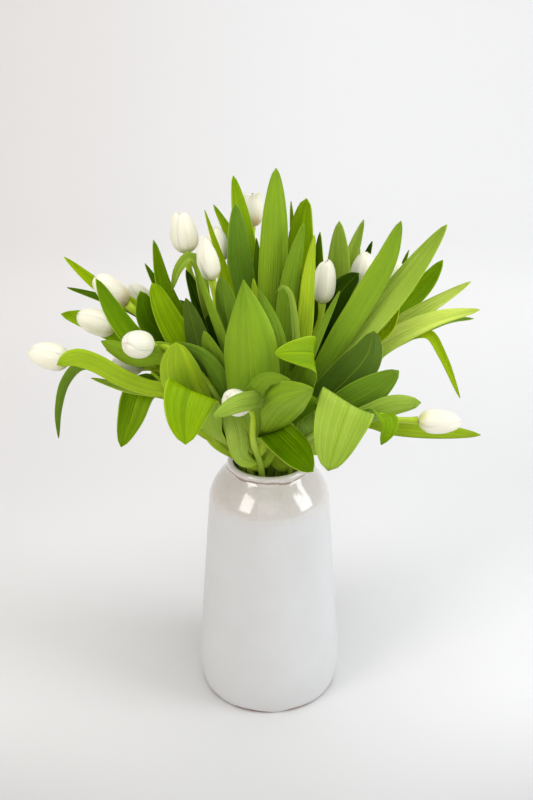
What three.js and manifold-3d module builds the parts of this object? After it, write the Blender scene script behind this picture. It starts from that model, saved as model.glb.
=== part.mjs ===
// A bunch of white tulips, not yet open, standing with their leaves in a glazed stoneware vase of water.
// Millimetres, +Z up. The origin is the middle of the vase's foot, and the bunch's front faces -Y.
import * as THREE from "three";
import { mergeVertices } from "three/addons/utils/BufferGeometryUtils.js";
import Module from "manifold-3d";

const wasm = await Module();
wasm.setup();

const GAP = 0.3; // between pieces that touch

// The vase: a tall rounded body that narrows upwards, a sloping shoulder and a short rolled lip.
const VASE_HEIGHT = 282;
const VASE_SIDES = 30;
const BODY_RADIUS = 79;
const BODY_FROM = 40; // where the rounded foot ends and the straight side begins
const FOOT_RADIUS = 72;
const SHOULDER_RADIUS = 64.7;
const SHOULDER_FROM = 237.7;
const NECK_RADIUS = 44.4;
const NECK_FROM = 276.2;
const SHOULDER_PULL = 20; // how far the shoulder's curve keeps on upwards before it turns in
const NECK_FLARE = 1.4;
const NECK_DROP = 4;
const LIP_START = -0.3; // angle at which the lip's round leaves the neck
const LIP_ROUND = 3.3;
const LIP_MIDDLE = 41.6; // radius of the ring that the lip is rolled about
const WALL = 5.5;
const FLOOR = 8;
const INNER_CORNER = 36; // height of the rounded corner inside, between the floor and the wall
const INNER_DROP = 2; // how much lower the shoulder begins inside
const WATER_LEVEL = 185;

// The stems.
const STEM_SIDES = 6;
const STEM_RADIUS = 3.7;
const STEM_TOP_RADIUS = 3.1;
const STEM_ROWS_ABOVE = 5; // cross sections of a stem above the mouth
const NECK_PLANE = 286; // height at which each stem's place in the mouth is given
const STEM_SPIRAL = Math.PI / 3; // how far the stems turn round the vase's axis on their way down
const STEM_SPREAD = 1.3; // how much wider apart they stand on the floor than in the mouth
const STEM_IN_BLOOM = 20; // the last stretch of a stem runs in line with its bloom
const STEM_MIDDLE = 0.6; // share of the way up to the mouth at which a stem is still straight
const HOLE_DEPTH = 4; // how far the hole round a stem goes on past its foot

// The leaves.
const LEAF_THICK = 0.9;
const LEAF_STEP = 42; // distance between the cross sections of a leaf
const FOLD_STEP = 26; // the same for a leaf that folds over
const NARROW_LEAF = 16; // a leaf up to this wide has no fold along its middle
const SHEATH = 5; // width of most leaves where they leave the stem
const TIP_HALF = 0.35; // half the width of a leaf's tip
const LEAST_ROWS = 4; // cross sections of the shortest leaves
const MOST_ROWS = 7; // and of the longest
const NARROWEST = 0.6; // a leaf's sheath is at most this share of its width
const CORE_RISE = 60; // how far a leaf's face looks up as it looks towards the bunch's axis

// The blooms: three outer petals and three inner ones, closed into a bud.
const PETAL_EDGE = 0.72; // half the angle, in radians, that an outer petal spans
const PETAL_GAP = 0.06; // angle from an outer petal's edge to the inner petal's face
const EDGE_DIP = 0.12; // how far an outer petal's corners lie below its tip, as a share of a bloom's length
const INNER_DIP = 0.06; // the same for an inner petal
const PETAL_STEP = 1.5; // how far an outer petal stands out over an inner one
const BLOOM_LONG = 43;
const BLOOM_WIDE = 27;

// Places above the mouth are given as seen from the front: right and down, in millimetres, from the corner
// of a window that stands VIEW_DISTANCE in front of the eye, square to its line of sight.
const EYE = new THREE.Vector3(-3, -1124.6, 892.5);
const LOOK_DOWN = 0.449;
const VIEW_DISTANCE = 1200;
const VIEW_CENTRE = [266.5, 400];
const MOUTH_IN_VIEW = [269, 458];

// A layer of the bunch is a number: -1 is its front, 0 its middle and 1 its back.
const MOUTH_REACH = 31;
const FRONT_REACH = 150;
const FRONT_RISE = 70;
const FRONT_HEIGHT = 530;
const BACK_SLOPE = 0.66;

const WHITE = { color: 0xf1efe4, roughness: 0.55, metalness: 0 };
const GREEN = { color: 0x6fa02c, roughness: 0.5, metalness: 0 };
const GLAZE = { color: 0xd3d1cd, roughness: 0.25, metalness: 0 };
const WATER = { color: 0xdfeaf0, roughness: 0.05, metalness: 0 };

// How far in front of the vase's axis, or behind it, a layer lies at a place in the view.
function depth([right, down], layer) {
  const away = Math.hypot(right - MOUTH_IN_VIEW[0], down - MOUTH_IN_VIEW[1]);
  if (layer > 0) {
    return layer * (MOUTH_REACH + BACK_SLOPE * away);
  }
  const fall = 1 - Math.max(0, MOUTH_IN_VIEW[1] - down) / FRONT_HEIGHT;
  return layer * (MOUTH_REACH + FRONT_REACH * fall * (1 - Math.exp(-away / FRONT_RISE)));
}

// The point that is seen at a place in the view and lies in a layer.
function place(spot, layer) {
  const right = (spot[0] - VIEW_CENTRE[0]) / VIEW_DISTANCE;
  const up = (VIEW_CENTRE[1] - spot[1]) / VIEW_DISTANCE;
  const sight = new THREE.Vector3(
    right,
    Math.cos(LOOK_DOWN) + up * Math.sin(LOOK_DOWN),
    up * Math.cos(LOOK_DOWN) - Math.sin(LOOK_DOWN),
  );
  return sight.multiplyScalar((depth(spot, layer) - EYE.y) / sight.y).add(EYE);
}

function mix(from, to, share) {
  return from + (to - from) * share;
}

// A closed geometry as a solid that can be joined and cut.
function solidOf(geometry) {
  const bare = geometry.clone();
  bare.deleteAttribute("normal");
  bare.deleteAttribute("uv");
  const merged = mergeVertices(bare, 1e-4);
  return new wasm.Manifold(
    new wasm.Mesh({
      numProp: 3,
      vertProperties: new Float32Array(merged.attributes.position.array),
      triVerts: new Uint32Array(merged.index.array),
    }),
  );
}

function geometryOf(solid) {
  const made = solid.getMesh();
  const geometry = new THREE.BufferGeometry();
  geometry.setAttribute("position", new THREE.BufferAttribute(made.vertProperties, 3));
  geometry.setIndex(new THREE.BufferAttribute(made.triVerts, 1));
  geometry.computeVertexNormals();
  return geometry;
}

function meshOf(name, geometry, finish) {
  const mesh = new THREE.Mesh(geometry, new THREE.MeshStandardMaterial(finish));
  mesh.name = name;
  return mesh;
}

// A profile of radius and height turned about the vase's axis.
function turned(profile) {
  return new THREE.LatheGeometry(profile, VASE_SIDES).rotateX(Math.PI / 2);
}

function vaseProfile() {
  const path = new THREE.Path();
  const lipFrom = VASE_HEIGHT - LIP_ROUND;
  const innerNeck = LIP_MIDDLE - LIP_ROUND;
  const innerShoulder = SHOULDER_RADIUS - WALL;
  const innerBody = BODY_RADIUS - WALL;
  path.moveTo(0, 0);
  path.lineTo(FOOT_RADIUS, 0);
  path.absellipse(FOOT_RADIUS, BODY_FROM, BODY_RADIUS - FOOT_RADIUS, BODY_FROM, -Math.PI / 2, 0);
  path.lineTo(SHOULDER_RADIUS, SHOULDER_FROM);
  path.bezierCurveTo(
    SHOULDER_RADIUS,
    SHOULDER_FROM + SHOULDER_PULL,
    NECK_RADIUS - NECK_FLARE,
    NECK_FROM - NECK_DROP,
    NECK_RADIUS,
    NECK_FROM,
  );
  path.absarc(LIP_MIDDLE, lipFrom, LIP_ROUND, LIP_START, Math.PI);
  path.lineTo(innerNeck, NECK_FROM - NECK_DROP);
  path.bezierCurveTo(
    innerNeck,
    NECK_FROM - 3 * NECK_DROP,
    innerShoulder,
    SHOULDER_FROM + SHOULDER_PULL - INNER_DROP,
    innerShoulder,
    SHOULDER_FROM - INNER_DROP,
  );
  path.lineTo(innerBody, FLOOR + INNER_CORNER);
  path.quadraticCurveTo(innerBody, FLOOR, innerBody - WALL * 2, FLOOR);
  path.lineTo(0, FLOOR);
  return path.getPoints(3);
}

function waterProfile() {
  const path = new THREE.Path();
  const innerShoulder = SHOULDER_RADIUS - WALL;
  const innerBody = BODY_RADIUS - WALL;
  const cornerTop = FLOOR + INNER_CORNER;
  const rise = (WATER_LEVEL - cornerTop) / (SHOULDER_FROM - INNER_DROP - cornerTop);
  path.moveTo(0, FLOOR + GAP);
  path.lineTo(innerBody - WALL * 2 - GAP, FLOOR + GAP);
  path.quadraticCurveTo(innerBody - GAP, FLOOR + GAP, innerBody - GAP, cornerTop);
  path.lineTo(mix(innerBody, innerShoulder, rise) - GAP, WATER_LEVEL);
  path.lineTo(0, WATER_LEVEL);
  return path.getPoints(3);
}

// The middle line of a stem: from the vase's floor through its place in the mouth to its bloom.
function stemLine(tulip) {
  const [x, y] = tulip.mouth;
  const turn = new THREE.Vector2(x, y)
    .multiplyScalar(STEM_SPREAD)
    .rotateAround(new THREE.Vector2(0, 0), STEM_SPIRAL);
  const foot = new THREE.Vector3(turn.x, turn.y, FLOOR + 3 * GAP);
  const mouth = new THREE.Vector3(x, y, NECK_PLANE);
  const base = place(tulip.bloom.base, tulip.layer);
  const upper = tulip.stem.map((spot) => place(spot, tulip.layer));
  const last = base.clone().addScaledVector(bloomAxis(tulip), -STEM_IN_BLOOM);
  const middle = foot.clone().lerp(mouth, STEM_MIDDLE);
  const line = new THREE.CatmullRomCurve3([foot, middle, mouth, ...upper, last, base]);
  const mouthShare = foot.distanceTo(mouth) / line.getLength();
  return { line, mouthShare };
}

// A stem's cross sections, as shares of its length: few in the vase, where it is straight, and more above.
function stemRows(stem) {
  const above = [];
  for (let i = 0; i <= STEM_ROWS_ABOVE; i++) {
    above.push(mix(stem.mouthShare, 1, i / STEM_ROWS_ABOVE));
  }
  return [0, stem.mouthShare * STEM_MIDDLE, ...above];
}

function bloomAxis(tulip) {
  const base = place(tulip.bloom.base, tulip.layer);
  const tip = place(tulip.bloom.tip, tulip.layer);
  tip.lerp(EYE, (tulip.bloom.near ?? 0) / (tip.y - EYE.y));
  return tip.sub(base).normalize();
}

// A round bar along a line, with its section kept level so that no stretch twists.
function bar(line, rows, radiusAt, before = 0) {
  const geometry = new THREE.CylinderGeometry(1, 1, 1, STEM_SIDES, rows.length - 1);
  const spots = geometry.getAttribute("position");
  for (let i = 0; i < spots.count; i++) {
    const share = rows[Math.round((spots.getY(i) + 0.5) * (rows.length - 1))];
    const along = line.getTangentAt(share);
    const side = new THREE.Vector3(1, 0, 0).addScaledVector(along, -along.x).normalize();
    const front = new THREE.Vector3().crossVectors(side, along);
    const centre = line.getPointAt(share).addScaledVector(along, share === 0 ? -before : 0);
    centre.addScaledVector(side, spots.getX(i) * radiusAt(share));
    centre.addScaledVector(front, spots.getZ(i) * radiusAt(share));
    spots.setXYZ(i, centre.x, centre.y, centre.z);
  }
  return geometry;
}

function stemRadius(share) {
  return mix(STEM_RADIUS, STEM_TOP_RADIUS, share);
}

// Half the width of a leaf at a share of its length: a sheath at the stem, then its widest, then a tip.
function leafHalf(leaf, share) {
  const widest = leaf.widest;
  const full = leaf.wide / 2;
  const start = Math.min(leaf.sheath, leaf.wide * NARROWEST) / 2;
  if (share < widest) {
    return mix(start, full, Math.sin((Math.PI / 2) * (share / widest)));
  }
  const taper = Math.cos((Math.PI / 2) * ((share - widest) / (1 - widest)));
  return Math.max(TIP_HALF, full * Math.max(0, taper) ** leaf.taper);
}

// The middle line of a leaf: it leaves its stem some way above the mouth, then runs through its places.
function leafLine(stem, leaf) {
  const last = leaf.course.length - 1;
  const [first, end] = leaf.layers;
  const spots = leaf.course.map((spot, i) => place(spot, mix(first, end, last ? i / last : 1)));
  const root = stem.line.getPointAt(stem.mouthShare + leaf.from / stem.line.getLength());
  return new THREE.CatmullRomCurve3([root, ...spots]);
}

// Which way a leaf's upper face looks: at the eye or away from it, then turned towards the bunch's axis.
function leafFace(line, share, turn, signs) {
  const spot = line.getPointAt(share);
  const along = line.getTangentAt(share);
  const sight = spot.clone().sub(EYE).normalize();
  const side = new THREE.Vector3().crossVectors(along, sight).normalize();
  const face = new THREE.Vector3().crossVectors(side, along);
  if (!signs.face) {
    const core = new THREE.Vector3(-spot.x, -spot.y, signs.rise);
    signs.face = Math.sign(face.dot(core)) || 1;
    signs.side = Math.sign(side.dot(core)) || 1;
  }
  face.multiplyScalar(signs.face * Math.cos(turn));
  return face.addScaledVector(side, signs.side * Math.sin(turn));
}

// Which way a leaf that folds over is wide: its own direction right, down and near, square to its line.
function leafAcross(line, share, across) {
  const along = line.getTangentAt(share);
  const [right, down, near] = across[0].map((value, i) => mix(value, across[1][i], share));
  const level = Math.cos(LOOK_DOWN);
  const steep = Math.sin(LOOK_DOWN);
  const wide = new THREE.Vector3(right, -down * steep - near * level, near * steep - down * level);
  return wide.addScaledVector(along, -wide.dot(along)).normalize();
}

// A leaf: a thin blade along its line, its two halves folded up a little, with both faces split alike.
function blade(line, leaf) {
  const apart = leaf.across ? FOLD_STEP : LEAF_STEP;
  const wanted = Math.round(line.getLength() / apart) + 1;
  const rows = THREE.MathUtils.clamp(wanted, LEAST_ROWS, MOST_ROWS);
  const across = leaf.wide > NARROW_LEAF ? [-1, 0, 1] : [-1, 1];
  const count = across.length;
  const signs = { rise: CORE_RISE };
  leafFace(line, 0.5, 0, signs);
  const spots = [];
  for (let row = 0; row < rows; row++) {
    const share = row / (rows - 1);
    const turn = THREE.MathUtils.degToRad(mix(leaf.turn[0], leaf.turn[1], share));
    const along = line.getTangentAt(share);
    let face = leafFace(line, share, turn, signs);
    let wide = new THREE.Vector3().crossVectors(along, face);
    if (leaf.across) {
      wide = leafAcross(line, share, leaf.across);
      face = new THREE.Vector3().crossVectors(wide, along);
    }
    const half = leafHalf(leaf, share);
    for (const level of [-0.5, 0.5]) {
      for (const step of across) {
        const spot = line.getPointAt(share).addScaledVector(wide, step * half);
        const lift = Math.abs(step) * leaf.fold * half + level * LEAF_THICK;
        spot.addScaledVector(face, lift);
        spots.push(spot.x, spot.y, spot.z);
      }
    }
  }
  const faces = [];
  const quad = (a, b, c, d) => faces.push(a, b, c, a, c, d);
  const at = (row, level, step) => (row * 2 + level) * count + step;
  for (let row = 0; row + 1 < rows; row++) {
    for (let step = 0; step + 1 < count; step++) {
      quad(at(row, 1, step), at(row, 1, step + 1), at(row + 1, 1, step + 1), at(row + 1, 1, step));
      faces.push(at(row, 0, step), at(row + 1, 0, step + 1), at(row, 0, step + 1));
      faces.push(at(row, 0, step), at(row + 1, 0, step), at(row + 1, 0, step + 1));
    }
    quad(at(row, 0, 0), at(row, 1, 0), at(row + 1, 1, 0), at(row + 1, 0, 0));
    const end = count - 1;
    quad(at(row, 1, end), at(row, 0, end), at(row + 1, 0, end), at(row + 1, 1, end));
  }
  for (let step = 0; step + 1 < count; step++) {
    const top = rows - 1;
    quad(at(0, 0, step), at(0, 0, step + 1), at(0, 1, step + 1), at(0, 1, step));
    quad(at(top, 1, step), at(top, 1, step + 1), at(top, 0, step + 1), at(top, 0, step));
  }
  const geometry = new THREE.BufferGeometry();
  geometry.setAttribute("position", new THREE.Float32BufferAttribute(spots, 3));
  geometry.setIndex(faces);
  return geometry;
}

// Rows of a bloom, from its base to its mouth: height as a share of its length, radius of its half width.
const BLOOM_ROWS = [
  [0, 0],
  [0.1, 0.62],
  [0.36, 1],
  [0.66, 0.93],
  [0.87, 0.68],
  [1, 0.3],
  [0.86, 0],
];

// A bloom: a round bud whose outer petals stand out over the inner ones and end in tips of their own.
function bloomGeometry(tulip) {
  const long = tulip.bloom.long ?? BLOOM_LONG;
  const wide = tulip.bloom.wide ?? BLOOM_WIDE;
  const axis = bloomAxis(tulip);
  const base = place(tulip.bloom.base, tulip.layer).addScaledVector(axis, GAP);
  const frame = new THREE.Quaternion().setFromUnitVectors(new THREE.Vector3(0, 1, 0), axis);
  const third = (2 * Math.PI) / 3;
  const columns = [-PETAL_EDGE, 0, PETAL_EDGE, PETAL_EDGE + PETAL_GAP, third - PETAL_EDGE - PETAL_GAP];
  const geometry = new THREE.SphereGeometry(1, columns.length * 3, BLOOM_ROWS.length - 1);
  const spots = geometry.getAttribute("position");
  const perRow = columns.length * 3 + 1;
  for (let i = 0; i < spots.count; i++) {
    const row = BLOOM_ROWS.length - 1 - Math.floor(i / perRow);
    const column = (i % perRow) % (columns.length * 3);
    const petal = column % columns.length;
    const outer = petal < 3;
    const angle = columns[petal] + Math.floor(column / columns.length) * third;
    const [height, share] = BLOOM_ROWS[row];
    const dip = row === BLOOM_ROWS.length - 2 && petal !== 1 ? (outer ? EDGE_DIP : INNER_DIP) : 0;
    const step = row === 0 || row === BLOOM_ROWS.length - 1 ? 0 : outer ? PETAL_STEP / 2 : -PETAL_STEP / 2;
    const radius = Math.max(0, (share * wide) / 2 + step);
    const up = (height - dip) * long;
    const spot = new THREE.Vector3(-Math.cos(angle) * radius, up, Math.sin(angle) * radius);
    spot.applyQuaternion(frame).add(base);
    spots.setXYZ(i, spot.x, spot.y, spot.z);
  }
  return geometry;
}

// One leaf: how far above the mouth it leaves its stem, its places in the view up to its tip, its width,
// and the layers that it runs through. Its face turns towards the bunch's axis by two angles in degrees, at
// its root and its tip. A leaf that folds over has its own two directions across instead. The lower its
// taper, the blunter is its tip.
function leaf(from, course, wide, layers, more = {}) {
  const usual = { turn: [10, 22], fold: 0.2, widest: 0.55, taper: 0.6, sheath: SHEATH };
  return { from, course, wide, layers, ...usual, ...more };
}

const TULIPS = [
  {
    name: "low_front",
    mouth: [-9, -29],
    layer: -0.88,
    stem: [[253, 440]],
    bloom: { base: [244, 407], tip: [220.5, 392.5], near: 26, wide: 24, long: 40 },
    leaves: [
      leaf(20, [[252, 400], [249, 340], [243.5, 279.5]], 54, [-0.75, -0.62], {
        turn: [8, 16],
        fold: 0.3,
        widest: 0.62,
        taper: 0.95,
        sheath: 14,
      }),
      leaf(40, [[268, 424], [262, 401], [240, 403], [213.5, 416.5]], 18, [-0.62, -1.4], {
        turn: [0, 0],
        widest: 0.66,
      }),
      leaf(-2, [[255, 462], [260, 432], [279, 405], [313, 388.5]], 44, [-0.5, -1.3], {
        turn: [0, 10],
        fold: 0.4,
        taper: 0.8,
        sheath: 14,
      }),
      leaf(2, [[270, 452], [275, 433], [288, 444], [313, 471.5]], 34, [-0.6, -1.35], {
        across: [[-1, 0, 0], [-0.72, 0.69, 0]],
        fold: 0.12,
        widest: 0.62,
        sheath: 12,
      }),
      leaf(45, [[254, 394], [268, 379], [291, 380]], 18, [-0.86, -0.95], { turn: [0, 0], widest: 0.6 }),
      leaf(8, [[243, 457], [236.5, 430], [227.5, 402]], 24, [-0.68, -0.62], {
        turn: [0, 0],
        widest: 0.72,
        sheath: 10,
      }),
    ],
  },
  {
    name: "left_front",
    mouth: [-22, -16],
    layer: -0.45,
    stem: [[228, 415], [200, 374], [172, 350]],
    bloom: { base: [148, 345], tip: [125, 343], near: 34, wide: 26, long: 41 },
    leaves: [
      leaf(8, [[204, 430], [197, 410], [192, 391], [186, 413], [185.5, 444.5]], 52, [-0.48, -1.05], {
        across: [[-45, -20, 0], [-45, -20, 0]],
        fold: 0.06,
        widest: 0.7,
        sheath: 8,
      }),
      leaf(15, [[208, 424], [190, 397], [179, 370], [176, 342.5]], 40, [-0.45, -0.62], {
        turn: [5, 5],
        widest: 0.74,
        taper: 0.6,
      }),
      leaf(70, [[220, 378], [202, 355], [176, 342]], 15, [-0.52, -0.5]),
      leaf(3, [[219, 443], [206, 427], [191, 410]], 16, [-0.4, -0.48], { sheath: 12 }),
      leaf(120, [[164, 354], [135, 356], [101, 341]], 23, [-0.39, -0.42], { turn: [0, 10] }),
    ],
  },
  {
    name: "far_left",
    mouth: [-31, -6],
    layer: -0.34,
    stem: [[222, 425], [170, 395], [120, 375]],
    bloom: { base: [70, 361], tip: [31, 352], wide: 26, long: 41 },
    leaves: [
      leaf(60, [[170, 392], [146, 387], [122, 378], [95, 363], [74, 357.5], [57, 365]], 18, [-0.46, -0.58], {
        turn: [0, 6],
        widest: 0.86,
        taper: 0.5,
      }),
      leaf(50, [[168, 395], [126, 388], [91, 378]], 12, [-0.4, -0.36]),
      leaf(110, [[110, 370], [82, 365], [66, 381], [58.5, 410], [58.5, 438]], 11, [-0.42, -0.4]),
    ],
  },
  {
    name: "left_low",
    mouth: [-21, -4],
    layer: -0.2,
    stem: [[232, 430], [200, 402], [165, 380]],
    bloom: { base: [143, 367], tip: [118, 363], near: 5, wide: 21, long: 32 },
    leaves: [
      leaf(70, [[178, 394], [158, 387], [140, 394], [131, 418], [121, 447]], 31, [-0.13, -0.4], {
        across: [[-1, -0.3, 0], [-0.96, -0.27, 0]],
        fold: 0.45,
        widest: 0.62,
      }),
      leaf(90, [[142, 362], [124, 359], [106, 349.5]], 9, [-0.03, -0.03]),
      leaf(40, [[215, 390], [200, 350], [186, 298]], 28, [-0.28, -0.26]),
    ],
  },
  {
    name: "left_mid",
    mouth: [-30, 7],
    layer: -0.08,
    stem: [[222, 415], [175, 372]],
    bloom: { base: [116, 329], tip: [79, 316], wide: 25, long: 41 },
    leaves: [
      leaf(110, [[150, 348], [115, 330], [88, 320], [61, 314]], 26, [0.02, 0.06], { turn: [0, 0] }),
      leaf(125, [[158, 358], [130, 335], [111, 308], [96, 279]], 22, [-0.24, -0.4]),
    ],
  },
  {
    name: "left_high",
    mouth: [-20, 9],
    layer: 0.02,
    stem: [[228, 400], [191, 356], [155, 325]],
    bloom: { base: [127, 304], tip: [96, 278], wide: 25, long: 42 },
    leaves: [
      leaf(120, [[148, 316], [100, 287], [64, 257]], 15, [0.1, 0.1]),
      leaf(100, [[140, 314], [98, 297], [67, 287.5]], 11, [0.12, 0.12]),
      leaf(80, [[167, 339], [149, 320], [140, 291]], 27, [-0.12, -0.2], { widest: 0.7, taper: 0.5 }),
      leaf(60, [[192, 360], [169, 322], [152, 283]], 28, [-0.2, -0.15], { widest: 0.66, taper: 0.45 }),
    ],
  },
  {
    name: "left_back",
    mouth: [-25, 17],
    layer: 0.22,
    stem: [[225, 395], [180, 340]],
    bloom: { base: [150, 309], tip: [132, 288], wide: 22, long: 32 },
    leaves: [
      leaf(70, [[185, 340], [165, 300], [145, 263.5]], 13, [0.18, 0.18]),
      leaf(60, [[190, 372], [155, 352], [138, 372]], 26, [0.45, 0.6]),
    ],
  },
  {
    name: "top_left",
    mouth: [-11, 3],
    layer: 0.12,
    stem: [[238, 400], [215, 345], [200, 295]],
    bloom: { base: [187, 253], tip: [181, 213], wide: 27, long: 42 },
    leaves: [
      leaf(70, [[214, 362], [188, 334], [165, 290], [153.5, 240]], 19, [0.13, 0.08]),
      leaf(140, [[203, 290], [199, 266], [190, 257], [179, 268], [171.5, 291]], 13, [0.05, 0]),
      leaf(60, [[218, 365], [205, 320], [186, 270]], 20, [0.06, 0.08]),
    ],
  },
  {
    name: "high_left",
    mouth: [-10, -9],
    layer: -0.2,
    stem: [[243, 405], [226, 350], [217, 312]],
    bloom: { base: [212, 280], tip: [203, 236], wide: 22, long: 45 },
    leaves: [
      leaf(60, [[240, 370], [228, 320], [221, 276]], 24, [-0.32, -0.28], { widest: 0.7, taper: 0.5 }),
      leaf(35, [[238, 390], [221, 335], [208, 300], [195, 262]], 10, [-0.42, -0.3]),
      leaf(50, [[225, 385], [212, 355], [204, 331]], 26, [-0.46, -0.44]),
      leaf(40, [[256, 380], [257, 320], [253.4, 278.7]], 16, [-0.42, -0.4]),
      leaf(40, [[278, 380], [276, 335], [257.5, 288]], 20, [-0.5, -0.48]),
    ],
  },
  {
    name: "high_middle",
    mouth: [-1, 1],
    layer: 0.1,
    stem: [[253, 400], [237, 350], [226, 300]],
    bloom: { base: [219, 263], tip: [215, 227], wide: 22, long: 37 },
    leaves: [
      leaf(100, [[238, 330], [226, 275], [214, 240], [204.6, 210]], 8, [-0.04, -0.04]),
      leaf(100, [[241, 300], [231, 240], [213.6, 204.6]], 15, [0.19, 0.2]),
    ],
  },
  {
    name: "top_middle",
    mouth: [-3, 13],
    layer: 0.45,
    stem: [[258, 380], [254, 300]],
    bloom: { base: [252, 227], tip: [253.5, 195], wide: 22, long: 36 },
    leaves: [
      leaf(80, [[255, 330], [246, 250], [233.2, 175.6]], 22, [0.28, 0.32], { widest: 0.66 }),
      leaf(60, [[256, 350], [240, 270], [235, 203]], 28, [0.05, 0.08], { widest: 0.66 }),
      leaf(70, [[258, 320], [256.5, 238]], 14, [0.14, 0.16]),
      leaf(70, [[266, 330], [276, 270], [281, 225]], 26, [0.54, 0.6]),
    ],
  },
  {
    name: "centre_right",
    mouth: [9, -7],
    layer: -0.12,
    stem: [[280, 410], [298, 365]],
    bloom: { base: [322, 303], tip: [327, 260], wide: 22.5, long: 44 },
    leaves: [
      leaf(40, [[274, 370], [272.5, 300], [275, 240], [276, 168]], 30, [-0.1, -0.02], { widest: 0.68 }),
      leaf(70, [[295, 345], [302, 290], [302, 235], [306.6, 198.3]], 29, [0.05, 0.08], {
        widest: 0.7,
        taper: 0.45,
      }),
      leaf(55, [[284, 350], [290, 285], [303.7, 222.7]], 21, [-0.16, -0.08]),
      leaf(90, [[296, 300], [291, 201]], 9, [0.14, 0.16]),
      leaf(45, [[292, 378], [303, 340], [309, 275], [314.5, 235]], 17, [-0.32, -0.34]),
      leaf(95, [[314, 320], [320, 232]], 14, [0.05, 0.05]),
      leaf(80, [[296, 352], [295, 325], [290, 293], [283, 286], [275.7, 293.4]], 8, [-0.43, -0.43]),
      leaf(30, [[293, 392], [307, 370], [313, 354], [297, 352], [275, 353]], 35, [-0.4, -0.9], {
        across: [[-0.4, 0, 0], [0.1, -1, 0]],
        fold: 0.1,
        widest: 0.66,
      }),
      leaf(60, [[305, 368], [319, 335], [339.7, 291]], 10, [-0.42, -0.4]),
    ],
  },
  {
    name: "right_high",
    mouth: [13, 7],
    layer: 0.22,
    stem: [[292, 390], [320, 345], [345, 312]],
    bloom: { base: [358, 288], tip: [368, 252], wide: 23, long: 38 },
    leaves: [
      leaf(60, [[322, 350], [337, 285], [339.4, 221]], 25, [0.15, 0.16], { turn: [0, 6], widest: 0.68 }),
      leaf(80, [[335, 330], [350, 262], [363.8, 219.6]], 18, [0.3, 0.33], { turn: [0, 6] }),
      leaf(100, [[345, 320], [360, 249]], 9, [0.36, 0.36]),
      leaf(80, [[345, 315], [372.3, 241]], 16, [0.46, 0.46]),
    ],
  },
  {
    name: "right_top",
    mouth: [20, -1],
    layer: 0.02,
    stem: [[307, 395], [341, 350], [365, 320]],
    bloom: { base: [381, 293], tip: [397, 263], wide: 23, long: 38 },
    leaves: [
      leaf(20, [[317, 380], [339, 340], [364, 300], [388, 258], [401, 221]], 25, [-0.32, -0.25], {
        widest: 0.74,
      }),
      leaf(40, [[325, 368], [368, 325], [398, 290], [425, 255], [447, 224.5]], 27, [-0.24, -0.14], {
        widest: 0.64,
      }),
      leaf(115, [[372, 332], [400, 308], [426, 284], [443, 260]], 23, [0.14, 0.15], { widest: 0.66 }),
      leaf(85, [[367, 346], [390, 328], [400, 300.6]], 11, [-0.17, -0.15]),
      leaf(60, [[319, 352], [329, 320], [342, 291], [359, 273]], 30, [0.1, 0.1], {
        widest: 0.7,
        taper: 0.5,
      }),
      leaf(110, [[392, 290], [409, 250]], 10, [0.3, 0.34]),
    ],
  },
  {
    name: "right_mid",
    mouth: [27, 10],
    layer: 0.36,
    stem: [[310, 395]],
    bloom: { base: [346, 350], tip: [362, 323], wide: 23, long: 38 },
    leaves: [
      leaf(50, [[357, 358], [383, 336], [420, 312], [447, 296], [471, 281.5]], 19, [-0.01, -0.03], {
        turn: [0, 8],
        widest: 0.5,
      }),
      leaf(42, [[357, 367], [385, 343], [435, 319], [480, 309.5]], 22, [-0.03, -0.12], {
        turn: [0, 8],
        widest: 0.5,
      }),
      leaf(60, [[380, 352], [447, 321], [473.6, 318.5]], 10, [0.08, 0.08], { taper: 0.5 }),
      leaf(60, [[374, 338], [398, 313], [429, 304]], 14, [0.22, 0.25], { turn: [0, 8] }),
      leaf(75, [[380, 351], [408, 336], [428, 334], [442, 355], [460, 398]], 11, [0, -0.04]),
    ],
  },
  {
    name: "low_right",
    mouth: [24, -17],
    layer: -0.6,
    stem: [[305, 440], [340, 421], [375, 415]],
    bloom: { base: [418, 420.5], tip: [458, 422], wide: 23.5, long: 41 },
    leaves: [
      leaf(30, [[324, 402], [349, 377], [367, 355], [374, 331]], 40, [-0.42, -0.4], {
        turn: [5, 10],
        widest: 0.68,
      }),
      leaf(40, [[345, 406], [374, 389], [399, 370.6]], 32, [-0.52, -0.52], { turn: [5, 10], widest: 0.66 }),
      leaf(95, [[368, 414], [393, 405], [421, 402.5]], 20, [-0.6, -0.56], {
        turn: [0, 0],
        fold: 0.35,
        widest: 0.66,
        taper: 0.5,
      }),
      leaf(70, [[366, 420], [392, 426], [425, 430], [480.6, 435]], 18, [-0.5, -0.45], { turn: [0, 8] }),
      leaf(55, [[366, 418], [382, 414], [390, 424], [381, 445]], 21, [-0.66, -0.86], {
        across: [[-1, 0, 0], [-0.95, -0.3, 0]],
        fold: 0.12,
        widest: 0.7,
      }),
      leaf(4, [[316, 440], [335, 422], [347.5, 403], [338, 431], [328, 471]], 54, [-0.55, -1.3], {
        across: [[-35, -22, 0], [-35, -22, 0]],
        fold: 0.06,
        widest: 0.7,
        taper: 0.55,
        sheath: 12,
      }),
      leaf(15, [[308, 426], [317, 398], [310, 404], [292, 423]], 19, [-0.66, -0.8], {
        across: [[-1, -0.3, 0], [-0.66, -0.75, 0]],
        widest: 0.6,
      }),
      leaf(-8, [[279, 460], [284, 438], [287, 418]], 26, [-0.3, -0.36], { turn: [0, 0], sheath: 14 }),
    ],
  },
  {
    name: "back_left",
    mouth: [-13, 22],
    layer: 0.8,
    stem: [[235, 380]],
    bloom: { base: [215, 335], tip: [205, 303] },
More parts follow.
